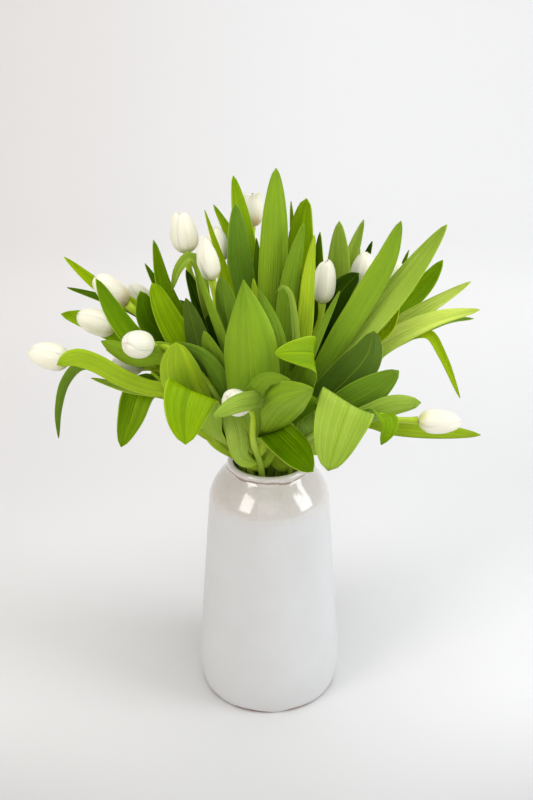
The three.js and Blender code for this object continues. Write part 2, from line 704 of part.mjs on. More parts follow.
    leaves: [
      leaf(50, [[230, 365], [200, 330], [180, 300]], 32, [0.5, 0.55]),
      leaf(40, [[215, 378], [172, 366], [150, 398]], 34, [0.85, 1]),
      leaf(60, [[238, 350], [234, 300], [230, 262]], 28, [0.62, 0.7]),
      leaf(30, [[238, 390], [215, 372], [198, 398]], 34, [1.1, 1.3]),
    ],
  },
  {
    name: "back_middle",
    mouth: [1, 27],
    layer: 0.95,
    stem: [[272, 370]],
    bloom: { base: [278, 325], tip: [280, 292] },
    leaves: [
      leaf(50, [[270, 340], [268, 290], [268, 240]], 32, [0.65, 0.7]),
      leaf(60, [[280, 350], [286, 310], [300, 265]], 30, [0.56, 0.58]),
      leaf(50, [[262, 370], [250, 338], [243, 310]], 34, [1.15, 1.25]),
      leaf(40, [[282, 375], [296, 348], [304, 376]], 32, [1.35, 1.6]),
      leaf(30, [[262, 388], [252, 362], [243, 388]], 30, [1.45, 1.7]),
    ],
  },
  {
    name: "back_right",
    mouth: [15, 20],
    layer: 0.85,
    stem: [[295, 375]],
    bloom: { base: [322, 342], tip: [335, 313] },
    leaves: [
      leaf(70, [[316, 325], [326, 298], [338, 255]], 28, [0.52, 0.5]),
      leaf(50, [[310, 368], [345, 335], [375, 302]], 30, [0.62, 0.64]),
      leaf(30, [[312, 388], [350, 366], [372, 392]], 34, [0.85, 1]),
      leaf(40, [[300, 370], [318, 330], [325, 296]], 32, [1.05, 1.2]),
    ],
  },
];

const stems = new Map(TULIPS.map((tulip) => [tulip.name, stemLine(tulip)]));

// The largest body of a solid: fusing can seal a small hollow or leave a loose scrap, and both go.
function mainBody(solid) {
  return solid.decompose().reduce((largest, body) => (body.volume() > largest.volume() ? body : largest));
}

function greensOf(tulip) {
  const stem = stems.get(tulip.name);
  let solid = solidOf(bar(stem.line, stemRows(stem), stemRadius));
  for (const one of tulip.leaves) {
    solid = solid.add(solidOf(blade(leafLine(stem, one), one)));
  }
  return mainBody(solid);
}

function waterSolid() {
  let solid = solidOf(turned(waterProfile()));
  for (const stem of stems.values()) {
    const radiusAt = (share) => stemRadius(share) + 2 * GAP;
    const hole = bar(stem.line, stemRows(stem).slice(0, 3), radiusAt, HOLE_DEPTH);
    solid = solid.subtract(solidOf(hole));
  }
  return solid;
}

const bunch = new THREE.Group();
for (const tulip of TULIPS) {
  bunch.add(meshOf(tulip.name + "_greens", geometryOf(greensOf(tulip)), GREEN));
  bunch.add(meshOf(tulip.name + "_bloom", bloomGeometry(tulip), WHITE));
}

const group = new THREE.Group();
group.add(meshOf("vase", turned(vaseProfile()), GLAZE));
group.add(meshOf("water", geometryOf(waterSolid()), WATER));
group.add(bunch);

export default group;
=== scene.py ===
"""White tulips, not yet open, standing with their leaves in a glazed stoneware vase of water.

Metres, +Z up. The origin is the middle of the vase's foot, and the bunch's front faces -Y. The places of
stems, leaves and blooms are given as they are seen through a window in front of the bunch, in millimetres.
"""

import logging
import math
import random
from collections.abc import Sequence
from dataclasses import dataclass
from enum import Enum
from functools import reduce

import bmesh
import bpy
import numpy as np
from bmesh.types import BMesh
from bpy.types import ID, Material, Node, NodeSocket, NodeTree, Object
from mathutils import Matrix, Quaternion, Vector


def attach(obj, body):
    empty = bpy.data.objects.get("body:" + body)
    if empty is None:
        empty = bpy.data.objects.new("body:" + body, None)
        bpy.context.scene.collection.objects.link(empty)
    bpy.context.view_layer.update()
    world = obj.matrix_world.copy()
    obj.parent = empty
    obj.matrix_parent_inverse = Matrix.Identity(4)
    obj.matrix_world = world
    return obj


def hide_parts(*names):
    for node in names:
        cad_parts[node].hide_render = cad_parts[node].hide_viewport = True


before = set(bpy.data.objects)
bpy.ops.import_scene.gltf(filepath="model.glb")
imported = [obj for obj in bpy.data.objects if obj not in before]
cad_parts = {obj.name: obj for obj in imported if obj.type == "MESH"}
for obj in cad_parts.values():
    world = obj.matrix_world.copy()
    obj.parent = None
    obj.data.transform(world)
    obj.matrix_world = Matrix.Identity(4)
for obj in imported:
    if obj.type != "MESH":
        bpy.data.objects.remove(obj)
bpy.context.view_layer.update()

LOG = logging.getLogger("tulips")
MM = 0.001
BODY = "root"

Colour = tuple[float, float, float]
Triple = tuple[float, float, float]
Spot = tuple[float, float]
Section = tuple[Vector, Vector, Vector, float]
Inputs = dict[str | int, object]
Sockets = dict[str, NodeSocket]


def linear(value: int) -> float:
    """Return the linear strength of a screen colour's channel, which runs from 0 to 255."""
    share = value / 255
    return share / 12.92 if share <= 0.04045 else ((share + 0.055) / 1.055) ** 2.4


def srgb(red: int, green: int, blue: int) -> Colour:
    """Turn a screen colour into the linear one that materials take."""
    return linear(red), linear(green), linear(blue)


def mix(start: float, end: float, share: float) -> float:
    """Return the number that lies a share of the way from start to end."""
    return start + (end - start) * share


def blend(start: Colour, end: Colour, share: float) -> Colour:
    """Return the colour that lies a share of the way from start to end."""
    red, green, blue = (mix(a, b, share) for a, b in zip(start, end))
    return red, green, blue


def ease(low: float, high: float, value: float) -> float:
    """Rise smoothly from 0, up to a low value, to 1, from a high one on."""
    share = min(1.0, max(0.0, (value - low) / (high - low)))
    return share * share * (3 - 2 * share)


def show(name: str, data: ID) -> Object:
    """Put an object into the scene.

    Args:
        name: The object's name.
        data: The mesh, lamp or camera that it holds.

    Returns:
        The object.
    """
    made = bpy.data.objects.new(name, data)
    bpy.context.scene.collection.objects.link(made)
    return made


def show_mesh(name: str, mesh: BMesh, finishes: Sequence[Material]) -> Object:
    """Put a mesh into the scene as a smooth object.

    Args:
        name: The object's name.
        mesh: The mesh, which is used up.
        finishes: Its materials, in the order of its slots.

    Returns:
        The object.
    """
    data = bpy.data.meshes.new(name)
    mesh.to_mesh(data)
    mesh.free()
    for material in finishes:
        data.materials.append(material)
    data.polygons.foreach_set("use_smooth", [True] * len(data.polygons))
    return show(name, data)


class Green(Enum):
    """The greens of the leaves, as colours of a blade's upper half. Besides the leaves' own green they hold
    painted light: DEEP is painted shade for leaves in shadow, BLUISH and PALE are partly waxy bloom and
    partly painted sheen, and GLOW is a painted glow on the brightest lit leaves.
    """

    # painted shade: the green of leaves that lie in shadow
    DEEP = srgb(44, 76, 0)
    MID = srgb(94, 128, 0)
    GRASS = srgb(112, 146, 0)
    FRESH = srgb(138, 167, 2)
    LIGHT = srgb(126, 158, 4)
    YELLOW = srgb(170, 192, 4)
    LIME = srgb(186, 206, 16)
    # painted glow: the green of the brightest lit leaves
    GLOW = srgb(222, 234, 120)
    # partly waxy bloom, partly painted sheen
    BLUISH = srgb(128, 164, 54)
    # partly waxy bloom, partly painted sheen
    PALE = srgb(162, 184, 74)


ROOT_GREEN = srgb(168, 190, 36)
STEM_GREEN = srgb(144, 172, 52)
STEM_TOP = srgb(182, 206, 40)
CREAM = srgb(246, 242, 222)
BLOOM_BASE = srgb(222, 220, 130)
AMBER = srgb(228, 184, 92)


@dataclass(frozen=True)
class Window:
    """The eye in front of the bunch and the window, square to its sight, on which places are read.

    Attributes:
        eye: The eye's place.
        look_down: The angle at which it looks down.
        distance: How far from the eye the window stands.
        centre: The place in the middle of the window.
        mouth: The place of the vase's mouth.
        mouth_reach: How far from the axis the outer layers stand at the mouth.
        front_reach: How much further out the front layer swells above it.
        front_rise: How soon it does.
        front_height: How high it has fallen back to the axis.
        back_slope: How steeply the back layer leans out.
    """

    eye: Triple = (-3.0, -1124.6, 892.5)
    look_down: float = 0.449
    distance: float = 1200.0
    centre: Spot = (266.5, 400.0)
    mouth: Spot = (269.0, 458.0)
    mouth_reach: float = 31.0
    front_reach: float = 150.0
    front_rise: float = 70.0
    front_height: float = 530.0
    back_slope: float = 0.66

    def depth(self, spot: Spot, layer: float) -> float:
        """Say how far in front of the vase's axis, or behind it, a layer lies.

        Args:
            spot: The place on the window, right and down.
            layer: The layer, from -1 at the bunch's front to 1 at its back.

        Returns:
            The place along Y, in millimetres.
        """
        away = math.hypot(spot[0] - self.mouth[0], spot[1] - self.mouth[1])
        if layer > 0:
            return layer * (self.mouth_reach + self.back_slope * away)
        fall = 1 - max(0.0, self.mouth[1] - spot[1]) / self.front_height
        swell = 1 - math.exp(-away / self.front_rise)
        return layer * (self.mouth_reach + self.front_reach * fall * swell)

    def place(self, spot: Spot, layer: float) -> Vector:
        """Find the point that is seen at a place on the window and lies in a layer.

        Args:
            spot: The place on the window, right and down.
            layer: The layer that the point lies in.

        Returns:
            The point, in metres.
        """
        right = (spot[0] - self.centre[0]) / self.distance
        up = (self.centre[1] - spot[1]) / self.distance
        level, steep = math.cos(self.look_down), math.sin(self.look_down)
        sight = Vector((right, level + up * steep, up * level - steep))
        eye = Vector(self.eye)
        return (eye + sight * ((self.depth(spot, layer) - eye.y) / sight.y)) * MM

    def towards(self, right: float, down: float, near: float) -> Vector:
        """Turn a direction right, down and near, as the eye sees it, into one of the frame."""
        level, steep = math.cos(self.look_down), math.sin(self.look_down)
        return Vector((right, -down * steep - near * level, near * steep - down * level))


WINDOW = Window()
EYE = Vector(WINDOW.eye) * MM


@dataclass
class Line:
    """A smooth line through points, read by shares of its length.

    Attributes:
        points: Two points or more, in order.
        samples: In how many steps each stretch is laid.
        step: How far, as a share of the length, its direction is read to each side.
    """

    points: Sequence[Vector]
    samples: int = 60
    step: float = 0.008

    def __post_init__(self) -> None:
        """Run the line through the points."""
        knots = [np.array(point) for point in self.points]
        knots = [2 * knots[0] - knots[1], *knots, 2 * knots[-1] - knots[-2]]
        stretches = [self.stretch(knots[i : i + 4]) for i in range(len(knots) - 3)]
        self.spots = np.vstack([*stretches, knots[-2]])
        steps = np.linalg.norm(np.diff(self.spots, axis=0), axis=1)
        self.lengths = np.concatenate([[0.0], np.cumsum(steps)])
        self.length = float(self.lengths[-1])

    def stretch(self, knots: list[np.ndarray]) -> np.ndarray:
        """Lay the stretch from the second of four knots to the third.

        Args:
            knots: The four knots.

        Returns:
            Its places, up to just before the third knot.
        """
        before, start, end, after = knots
        first, middle, last = (math.sqrt(float(np.linalg.norm(b - a))) for a, b in zip(knots, knots[1:]))
        leave = (start - before) / first - (end - before) / (first + middle) + (end - start) / middle
        reach = (end - start) / middle - (after - start) / (middle + last) + (after - end) / last
        leave, reach = leave * middle, reach * middle
        share = np.linspace(0, 1, self.samples, endpoint=False)[:, None]
        bend = 3 * (end - start) - 2 * leave - reach
        twist = 2 * (start - end) + leave + reach
        return start + leave * share + bend * share**2 + twist * share**3

    def point(self, share: float) -> Vector:
        """Return the point at a share of the line's length."""
        along = share * self.length
        return Vector([float(np.interp(along, self.lengths, self.spots[:, i])) for i in range(3)])

    def tangent(self, share: float) -> Vector:
        """Return the line's direction at a share of its length."""
        start, end = max(0.0, share - self.step), min(1.0, share + self.step)
        return (self.point(end) - self.point(start)).normalized()


@dataclass(frozen=True)
class Bloom:
    """A bloom that is still closed, or nearly so.

    Attributes:
        base: The place on the window where it sits on its stem.
        tip: The place of its tip.
        near: How far its tip leans towards the eye, in millimetres.
        wide: Its width in millimetres.
        long: Its length in millimetres.
        point: How slim its upper half is, from 0 to 1.
        open: How far its petals stand apart at their tips, from 0 to 1.
        amber: How warm its base is, from 0 to 1.
    """

    base: Spot
    tip: Spot
    near: float = 0
    wide: float = 27
    long: float = 43
    point: float = 0
    open: float = 0
    amber: float = 0


@dataclass(frozen=True)
class Leaf:
    """One leaf, with its lengths in millimetres.

    Attributes:
        start: How far above the mouth it leaves its stem.
        course: Its places on the window, up to its tip.
        wide: Its width.
        layers: The layers that it runs through.
        green: Its colour.
        turn: How far its face turns to the bunch's axis at its root and at its tip, in degrees.
        fold: How far its edges lift, as a share of half its width.
        widest: Where it is widest, as a share of its length.
        taper: How it narrows to its tip: the lower, the blunter the tip.
        sheath: Its width where it leaves the stem.
        wave: How far its edges wave, as a share of half its width.
        across: The directions across a leaf that folds over, at its root and tip: right, down and near.
    """

    start: float
    course: list[Spot]
    wide: float
    layers: Spot
    green: Green
    turn: Spot = (10, 22)
    fold: float = 0.2
    widest: float = 0.55
    taper: float = 0.6
    sheath: float = 5
    wave: float = 0.07
    across: tuple[Triple, Triple] | None = None


@dataclass(frozen=True)
class Tulip:
    """A tulip: its place in the vase's mouth, its stem's layer and places, its bloom and its leaves."""

    name: str
    mouth: Spot
    layer: float
    stem: list[Spot]
    bloom: Bloom
    leaves: list[Leaf]


TULIPS: list[Tulip] = [
    Tulip(
        "low_front", mouth=(-9, -29), layer=-0.88, stem=[(253, 440)],
        bloom=Bloom((244, 407), (220.5, 392.5), near=26, wide=24, long=40),
        leaves=[
            Leaf(20, [(252, 400), (249, 340), (243.5, 279.5)], 54, (-0.75, -0.62), Green.LIGHT,
                 turn=(8, 16), fold=0.3, widest=0.62, taper=0.95, sheath=14),
            Leaf(40, [(268, 424), (262, 401), (240, 403), (213.5, 416.5)], 18, (-0.62, -1.4),
                 Green.PALE, turn=(0, 0), widest=0.66),
            Leaf(-2, [(255, 462), (260, 432), (279, 405), (313, 388.5)], 44, (-0.5, -1.3), Green.FRESH,
                 turn=(0, 10), fold=0.4, taper=0.8, sheath=14),
            Leaf(2, [(270, 452), (275, 433), (288, 444), (313, 471.5)], 34, (-0.6, -1.35), Green.GRASS,
                 across=((-1, 0, 0), (-0.72, 0.69, 0)), fold=0.12, widest=0.62, sheath=12),
            Leaf(45, [(254, 394), (268, 379), (291, 380)], 18, (-0.86, -0.95), Green.LIGHT, turn=(0, 0),
                 widest=0.6),
            Leaf(8, [(243, 457), (236.5, 430), (227.5, 402)], 24, (-0.68, -0.62), Green.PALE,
                 turn=(0, 0), widest=0.72, sheath=10),
        ],
    ),
    Tulip(
        "left_front", mouth=(-22, -16), layer=-0.45, stem=[(228, 415), (200, 374), (172, 350)],
        bloom=Bloom((148, 345), (125, 343), near=34, wide=26, long=41),
        leaves=[
            Leaf(8, [(204, 430), (197, 410), (192, 391), (186, 413), (185.5, 444.5)], 52,
                 (-0.48, -1.05), Green.FRESH, across=((-45, -20, 0), (-45, -20, 0)), fold=0.06,
                 widest=0.7, sheath=8),
            Leaf(15, [(208, 424), (190, 397), (179, 370), (176, 342.5)], 40, (-0.45, -0.62), Green.LIME,
                 turn=(5, 5), widest=0.74, taper=0.6),
            Leaf(70, [(220, 378), (202, 355), (176, 342)], 15, (-0.52, -0.5), Green.MID),
            Leaf(3, [(219, 443), (206, 427), (191, 410)], 16, (-0.4, -0.48), Green.YELLOW, sheath=12),
            Leaf(120, [(164, 354), (135, 356), (101, 341)], 23, (-0.39, -0.42), Green.FRESH,
                 turn=(0, 10)),
        ],
    ),
    Tulip(
        "far_left", mouth=(-31, -6), layer=-0.34, stem=[(222, 425), (170, 395), (120, 375)],
        bloom=Bloom((70, 361), (31, 352), wide=26, long=41),
        leaves=[
            Leaf(60, [(170, 392), (146, 387), (122, 378), (95, 363), (74, 357.5), (57, 365)], 18,
                 (-0.46, -0.58), Green.YELLOW, turn=(0, 6), widest=0.86, taper=0.5),
            Leaf(50, [(168, 395), (126, 388), (91, 378)], 12, (-0.4, -0.36), Green.PALE),
            Leaf(110, [(110, 370), (82, 365), (66, 381), (58.5, 410), (58.5, 438)], 11, (-0.42, -0.4),
                 Green.MID),
        ],
    ),
    Tulip(
        "left_low", mouth=(-21, -4), layer=-0.2, stem=[(232, 430), (200, 402), (165, 380)],
        bloom=Bloom((143, 367), (118, 363), near=5, wide=21, long=32),
        leaves=[
            Leaf(70, [(178, 394), (158, 387), (140, 394), (131, 418), (121, 447)], 31, (-0.13, -0.4),
                 Green.LIGHT, across=((-1, -0.3, 0), (-0.96, -0.27, 0)), fold=0.45, widest=0.62),
            Leaf(90, [(142, 362), (124, 359), (106, 349.5)], 9, (-0.03, -0.03), Green.YELLOW),
            Leaf(40, [(215, 390), (200, 350), (186, 298)], 28, (-0.28, -0.26), Green.DEEP),
        ],
    ),
    Tulip(
        "left_mid", mouth=(-30, 7), layer=-0.08, stem=[(222, 415), (175, 372)],
        bloom=Bloom((116, 329), (79, 316), wide=25, long=41),
        leaves=[
            Leaf(110, [(150, 348), (115, 330), (88, 320), (61, 314)], 26, (0.02, 0.06), Green.FRESH,
                 turn=(0, 0)),
            Leaf(125, [(158, 358), (130, 335), (111, 308), (96, 279)], 22, (-0.24, -0.4), Green.GRASS),
        ],
    ),
    Tulip(
        "left_high", mouth=(-20, 9), layer=0.02, stem=[(228, 400), (191, 356), (155, 325)],
        bloom=Bloom((127, 304), (96, 278), wide=25, long=42, amber=0.8),
        leaves=[
            Leaf(120, [(148, 316), (100, 287), (64, 257)], 15, (0.1, 0.1), Green.YELLOW),
            Leaf(100, [(140, 314), (98, 297), (67, 287.5)], 11, (0.12, 0.12), Green.MID),
            Leaf(80, [(167, 339), (149, 320), (140, 291)], 27, (-0.12, -0.2), Green.MID, widest=0.7,
                 taper=0.5),
            Leaf(60, [(192, 360), (169, 322), (152, 283)], 28, (-0.2, -0.15), Green.FRESH, widest=0.66,
                 taper=0.45),
        ],
    ),
    Tulip(
        "left_back", mouth=(-25, 17), layer=0.22, stem=[(225, 395), (180, 340)],
        bloom=Bloom((150, 309), (132, 288), wide=22, long=32),
        leaves=[
            Leaf(70, [(185, 340), (165, 300), (145, 263.5)], 13, (0.18, 0.18), Green.MID),
            Leaf(60, [(190, 372), (155, 352), (138, 372)], 26, (0.45, 0.6), Green.MID),
        ],
    ),
    Tulip(
        "top_left", mouth=(-11, 3), layer=0.12, stem=[(238, 400), (215, 345), (200, 295)],
        bloom=Bloom((187, 253), (181, 213), wide=27, long=42, open=0.3),
        leaves=[
            Leaf(70, [(214, 362), (188, 334), (165, 290), (153.5, 240)], 19, (0.13, 0.08), Green.LIGHT),
            Leaf(140, [(203, 290), (199, 266), (190, 257), (179, 268), (171.5, 291)], 13, (0.05, 0),
                 Green.PALE),
            Leaf(60, [(218, 365), (205, 320), (186, 270)], 20, (0.06, 0.08), Green.DEEP),
        ],
    ),
    Tulip(
        "high_left", mouth=(-10, -9), layer=-0.2, stem=[(243, 405), (226, 350), (217, 312)],
        bloom=Bloom((212, 280), (203, 236), wide=22, long=45, point=1),
        leaves=[
            Leaf(60, [(240, 370), (228, 320), (221, 276)], 24, (-0.32, -0.28), Green.MID, widest=0.7,
                 taper=0.5),
            Leaf(35, [(238, 390), (221, 335), (208, 300), (195, 262)], 10, (-0.42, -0.3), Green.FRESH),
            Leaf(50, [(225, 385), (212, 355), (204, 331)], 26, (-0.46, -0.44), Green.LIGHT),
            Leaf(40, [(256, 380), (257, 320), (253.4, 278.7)], 16, (-0.42, -0.4), Green.YELLOW),
            Leaf(40, [(278, 380), (276, 335), (257.5, 288)], 20, (-0.5, -0.48), Green.LIGHT),
        ],
    ),
    Tulip(
        "high_middle", mouth=(-1, 1), layer=0.1, stem=[(253, 400), (237, 350), (226, 300)],
        bloom=Bloom((219, 263), (215, 227), wide=22, long=37),
        leaves=[
            Leaf(100, [(238, 330), (226, 275), (214, 240), (204.6, 210)], 8, (-0.04, -0.04),
                 Green.YELLOW),
            Leaf(100, [(241, 300), (231, 240), (213.6, 204.6)], 15, (0.19, 0.2), Green.FRESH),
        ],
    ),
    Tulip(
        "top_middle", mouth=(-3, 13), layer=0.45, stem=[(258, 380), (254, 300)],
        bloom=Bloom((252, 227), (253.5, 195), wide=22, long=36, open=1, amber=1),
        leaves=[
            Leaf(80, [(255, 330), (246, 250), (233.2, 175.6)], 22, (0.28, 0.32), Green.FRESH,
                 widest=0.66),
            Leaf(60, [(256, 350), (240, 270), (235, 203)], 28, (0.05, 0.08), Green.BLUISH, widest=0.66),
            Leaf(70, [(258, 320), (256.5, 238)], 14, (0.14, 0.16), Green.MID),
            Leaf(70, [(266, 330), (276, 270), (281, 225)], 26, (0.54, 0.6), Green.DEEP),
        ],
    ),
    Tulip(
        "centre_right", mouth=(9, -7), layer=-0.12, stem=[(280, 410), (298, 365)],
        bloom=Bloom((322, 303), (327, 260), wide=22.5, long=44, open=0.1),
        leaves=[
            Leaf(40, [(274, 370), (272.5, 300), (275, 240), (276, 168)], 30, (-0.1, -0.02), Green.FRESH,
                 widest=0.68),
            Leaf(70, [(295, 345), (302, 290), (302, 235), (306.6, 198.3)], 29, (0.05, 0.08),
                 Green.FRESH, widest=0.7, taper=0.45),
            Leaf(55, [(284, 350), (290, 285), (303.7, 222.7)], 21, (-0.16, -0.08), Green.LIGHT),
            Leaf(90, [(296, 300), (291, 201)], 9, (0.14, 0.16), Green.FRESH),
            Leaf(45, [(292, 378), (303, 340), (309, 275), (314.5, 235)], 17, (-0.32, -0.34),
                 Green.LIME),
            Leaf(95, [(314, 320), (320, 232)], 14, (0.05, 0.05), Green.MID),
            Leaf(80, [(296, 352), (295, 325), (290, 293), (283, 286), (275.7, 293.4)], 8,
                 (-0.43, -0.43), Green.PALE),
            Leaf(30, [(293, 392), (307, 370), (313, 354), (297, 352), (275, 353)], 35, (-0.4, -0.9),
                 Green.FRESH, across=((-0.4, 0, 0), (0.1, -1, 0)), fold=0.1, widest=0.66),
            Leaf(60, [(305, 368), (319, 335), (339.7, 291)], 10, (-0.42, -0.4), Green.LIGHT),
        ],
    ),
    Tulip(
        "right_high", mouth=(13, 7), layer=0.22, stem=[(292, 390), (320, 345), (345, 312)],
        bloom=Bloom((358, 288), (368, 252), wide=23, long=38),
        leaves=[
            Leaf(60, [(322, 350), (337, 285), (339.4, 221)], 25, (0.15, 0.16), Green.PALE, turn=(0, 6),
                 widest=0.68),
            Leaf(80, [(335, 330), (350, 262), (363.8, 219.6)], 18, (0.3, 0.33), Green.PALE,
                 turn=(0, 6)),
            Leaf(100, [(345, 320), (360, 249)], 9, (0.36, 0.36), Green.MID),
            Leaf(80, [(345, 315), (372.3, 241)], 16, (0.46, 0.46), Green.DEEP),
        ],
    ),
    Tulip(
        "right_top", mouth=(20, -1), layer=0.02, stem=[(307, 395), (341, 350), (365, 320)],
        bloom=Bloom((381, 293), (397, 263), wide=23, long=38, point=0.4),
        leaves=[
            Leaf(20, [(317, 380), (339, 340), (364, 300), (388, 258), (401, 221)], 25, (-0.32, -0.25),
                 Green.LIGHT, widest=0.74),
            Leaf(40, [(325, 368), (368, 325), (398, 290), (425, 255), (447, 224.5)], 27, (-0.24, -0.14),
                 Green.PALE, widest=0.64),
            Leaf(115, [(372, 332), (400, 308), (426, 284), (443, 260)], 23, (0.14, 0.15), Green.LIGHT,
                 widest=0.66),
            Leaf(85, [(367, 346), (390, 328), (400, 300.6)], 11, (-0.17, -0.15), Green.YELLOW),
            Leaf(60, [(319, 352), (329, 320), (342, 291), (359, 273)], 30, (0.1, 0.1), Green.DEEP,
                 widest=0.7, taper=0.5),
            Leaf(110, [(392, 290), (409, 250)], 10, (0.3, 0.34), Green.MID),
        ],
    ),
    Tulip(
        "right_mid", mouth=(27, 10), layer=0.36, stem=[(310, 395)],
        bloom=Bloom((346, 350), (362, 323), wide=23, long=38),
        leaves=[
            Leaf(50, [(357, 358), (383, 336), (420, 312), (447, 296), (471, 281.5)], 19, (-0.01, -0.03),
                 Green.GLOW, turn=(0, 8), widest=0.5),
            Leaf(42, [(357, 367), (385, 343), (435, 319), (480, 309.5)], 22, (-0.03, -0.12), Green.GLOW,
                 turn=(0, 8), widest=0.5),
            Leaf(60, [(380, 352), (447, 321), (473.6, 318.5)], 10, (0.08, 0.08), Green.BLUISH,
                 taper=0.5),
            Leaf(60, [(374, 338), (398, 313), (429, 304)], 14, (0.22, 0.25), Green.DEEP, turn=(0, 8)),
            Leaf(75, [(380, 351), (408, 336), (428, 334), (442, 355), (460, 398)], 11, (0, -0.04),
                 Green.YELLOW),
        ],
    ),
    Tulip(
        "low_right", mouth=(24, -17), layer=-0.6, stem=[(305, 440), (340, 421), (375, 415)],
        bloom=Bloom((418, 420.5), (458, 422), wide=23.5, long=41, point=0.3),
        leaves=[
            Leaf(30, [(324, 402), (349, 377), (367, 355), (374, 331)], 40, (-0.42, -0.4), Green.DEEP,
                 turn=(5, 10), widest=0.68),
            Leaf(40, [(345, 406), (374, 389), (399, 370.6)], 32, (-0.52, -0.52), Green.MID,
                 turn=(5, 10), widest=0.66),
            Leaf(95, [(368, 414), (393, 405), (421, 402.5)], 20, (-0.6, -0.56), Green.PALE, turn=(0, 0),
                 fold=0.35, widest=0.66, taper=0.5),
            Leaf(70, [(366, 420), (392, 426), (425, 430), (480.6, 435)], 18, (-0.5, -0.45),
                 Green.YELLOW, turn=(0, 8)),
            Leaf(55, [(366, 418), (382, 414), (390, 424), (381, 445)], 21, (-0.66, -0.86), Green.LIGHT,
                 across=((-1, 0, 0), (-0.95, -0.3, 0)), fold=0.12, widest=0.7),
            Leaf(4, [(316, 440), (335, 422), (347.5, 403), (338, 431), (328, 471)], 54, (-0.55, -1.3),
                 Green.PALE, across=((-35, -22, 0), (-35, -22, 0)), fold=0.06, widest=0.7, taper=0.55,
                 sheath=12),
            Leaf(15, [(308, 426), (317, 398), (310, 404), (292, 423)], 19, (-0.66, -0.8), Green.MID,
                 across=((-1, -0.3, 0), (-0.66, -0.75, 0)), widest=0.6),
            Leaf(-8, [(279, 460), (284, 438), (287, 418)], 26, (-0.3, -0.36), Green.YELLOW, turn=(0, 0),
                 sheath=14),
        ],
    ),
    Tulip(
        "back_left", mouth=(-13, 22), layer=0.8, stem=[(235, 380)],
        bloom=Bloom((215, 335), (205, 303)),
        leaves=[
            Leaf(50, [(230, 365), (200, 330), (180, 300)], 32, (0.5, 0.55), Green.MID),
            Leaf(40, [(215, 378), (172, 366), (150, 398)], 34, (0.85, 1), Green.FRESH),
            Leaf(60, [(238, 350), (234, 300), (230, 262)], 28, (0.62, 0.7), Green.DEEP),
            Leaf(30, [(238, 390), (215, 372), (198, 398)], 34, (1.1, 1.3), Green.MID),
        ],
    ),
    Tulip(
        "back_middle", mouth=(1, 27), layer=0.95, stem=[(272, 370)],
        bloom=Bloom((278, 325), (280, 292)),
        leaves=[
            Leaf(50, [(270, 340), (268, 290), (268, 240)], 32, (0.65, 0.7), Green.MID),
            Leaf(60, [(280, 350), (286, 310), (300, 265)], 30, (0.56, 0.58), Green.DEEP),
            Leaf(50, [(262, 370), (250, 338), (243, 310)], 34, (1.15, 1.25), Green.FRESH),
            Leaf(40, [(282, 375), (296, 348), (304, 376)], 32, (1.35, 1.6), Green.MID),
            Leaf(30, [(262, 388), (252, 362), (243, 388)], 30, (1.45, 1.7), Green.LIGHT),
        ],
    ),
    Tulip(
        "back_right", mouth=(15, 20), layer=0.85, stem=[(295, 375)],
        bloom=Bloom((322, 342), (335, 313)),
        leaves=[
            Leaf(70, [(316, 325), (326, 298), (338, 255)], 28, (0.52, 0.5), Green.DEEP),
            Leaf(50, [(310, 368), (345, 335), (375, 302)], 30, (0.62, 0.64), Green.FRESH),
            Leaf(30, [(312, 388), (350, 366), (372, 392)], 34, (0.85, 1), Green.MID),
            Leaf(40, [(300, 370), (318, 330), (325, 296)], 32, (1.05, 1.2), Green.LIGHT),
        ],
    ),
]


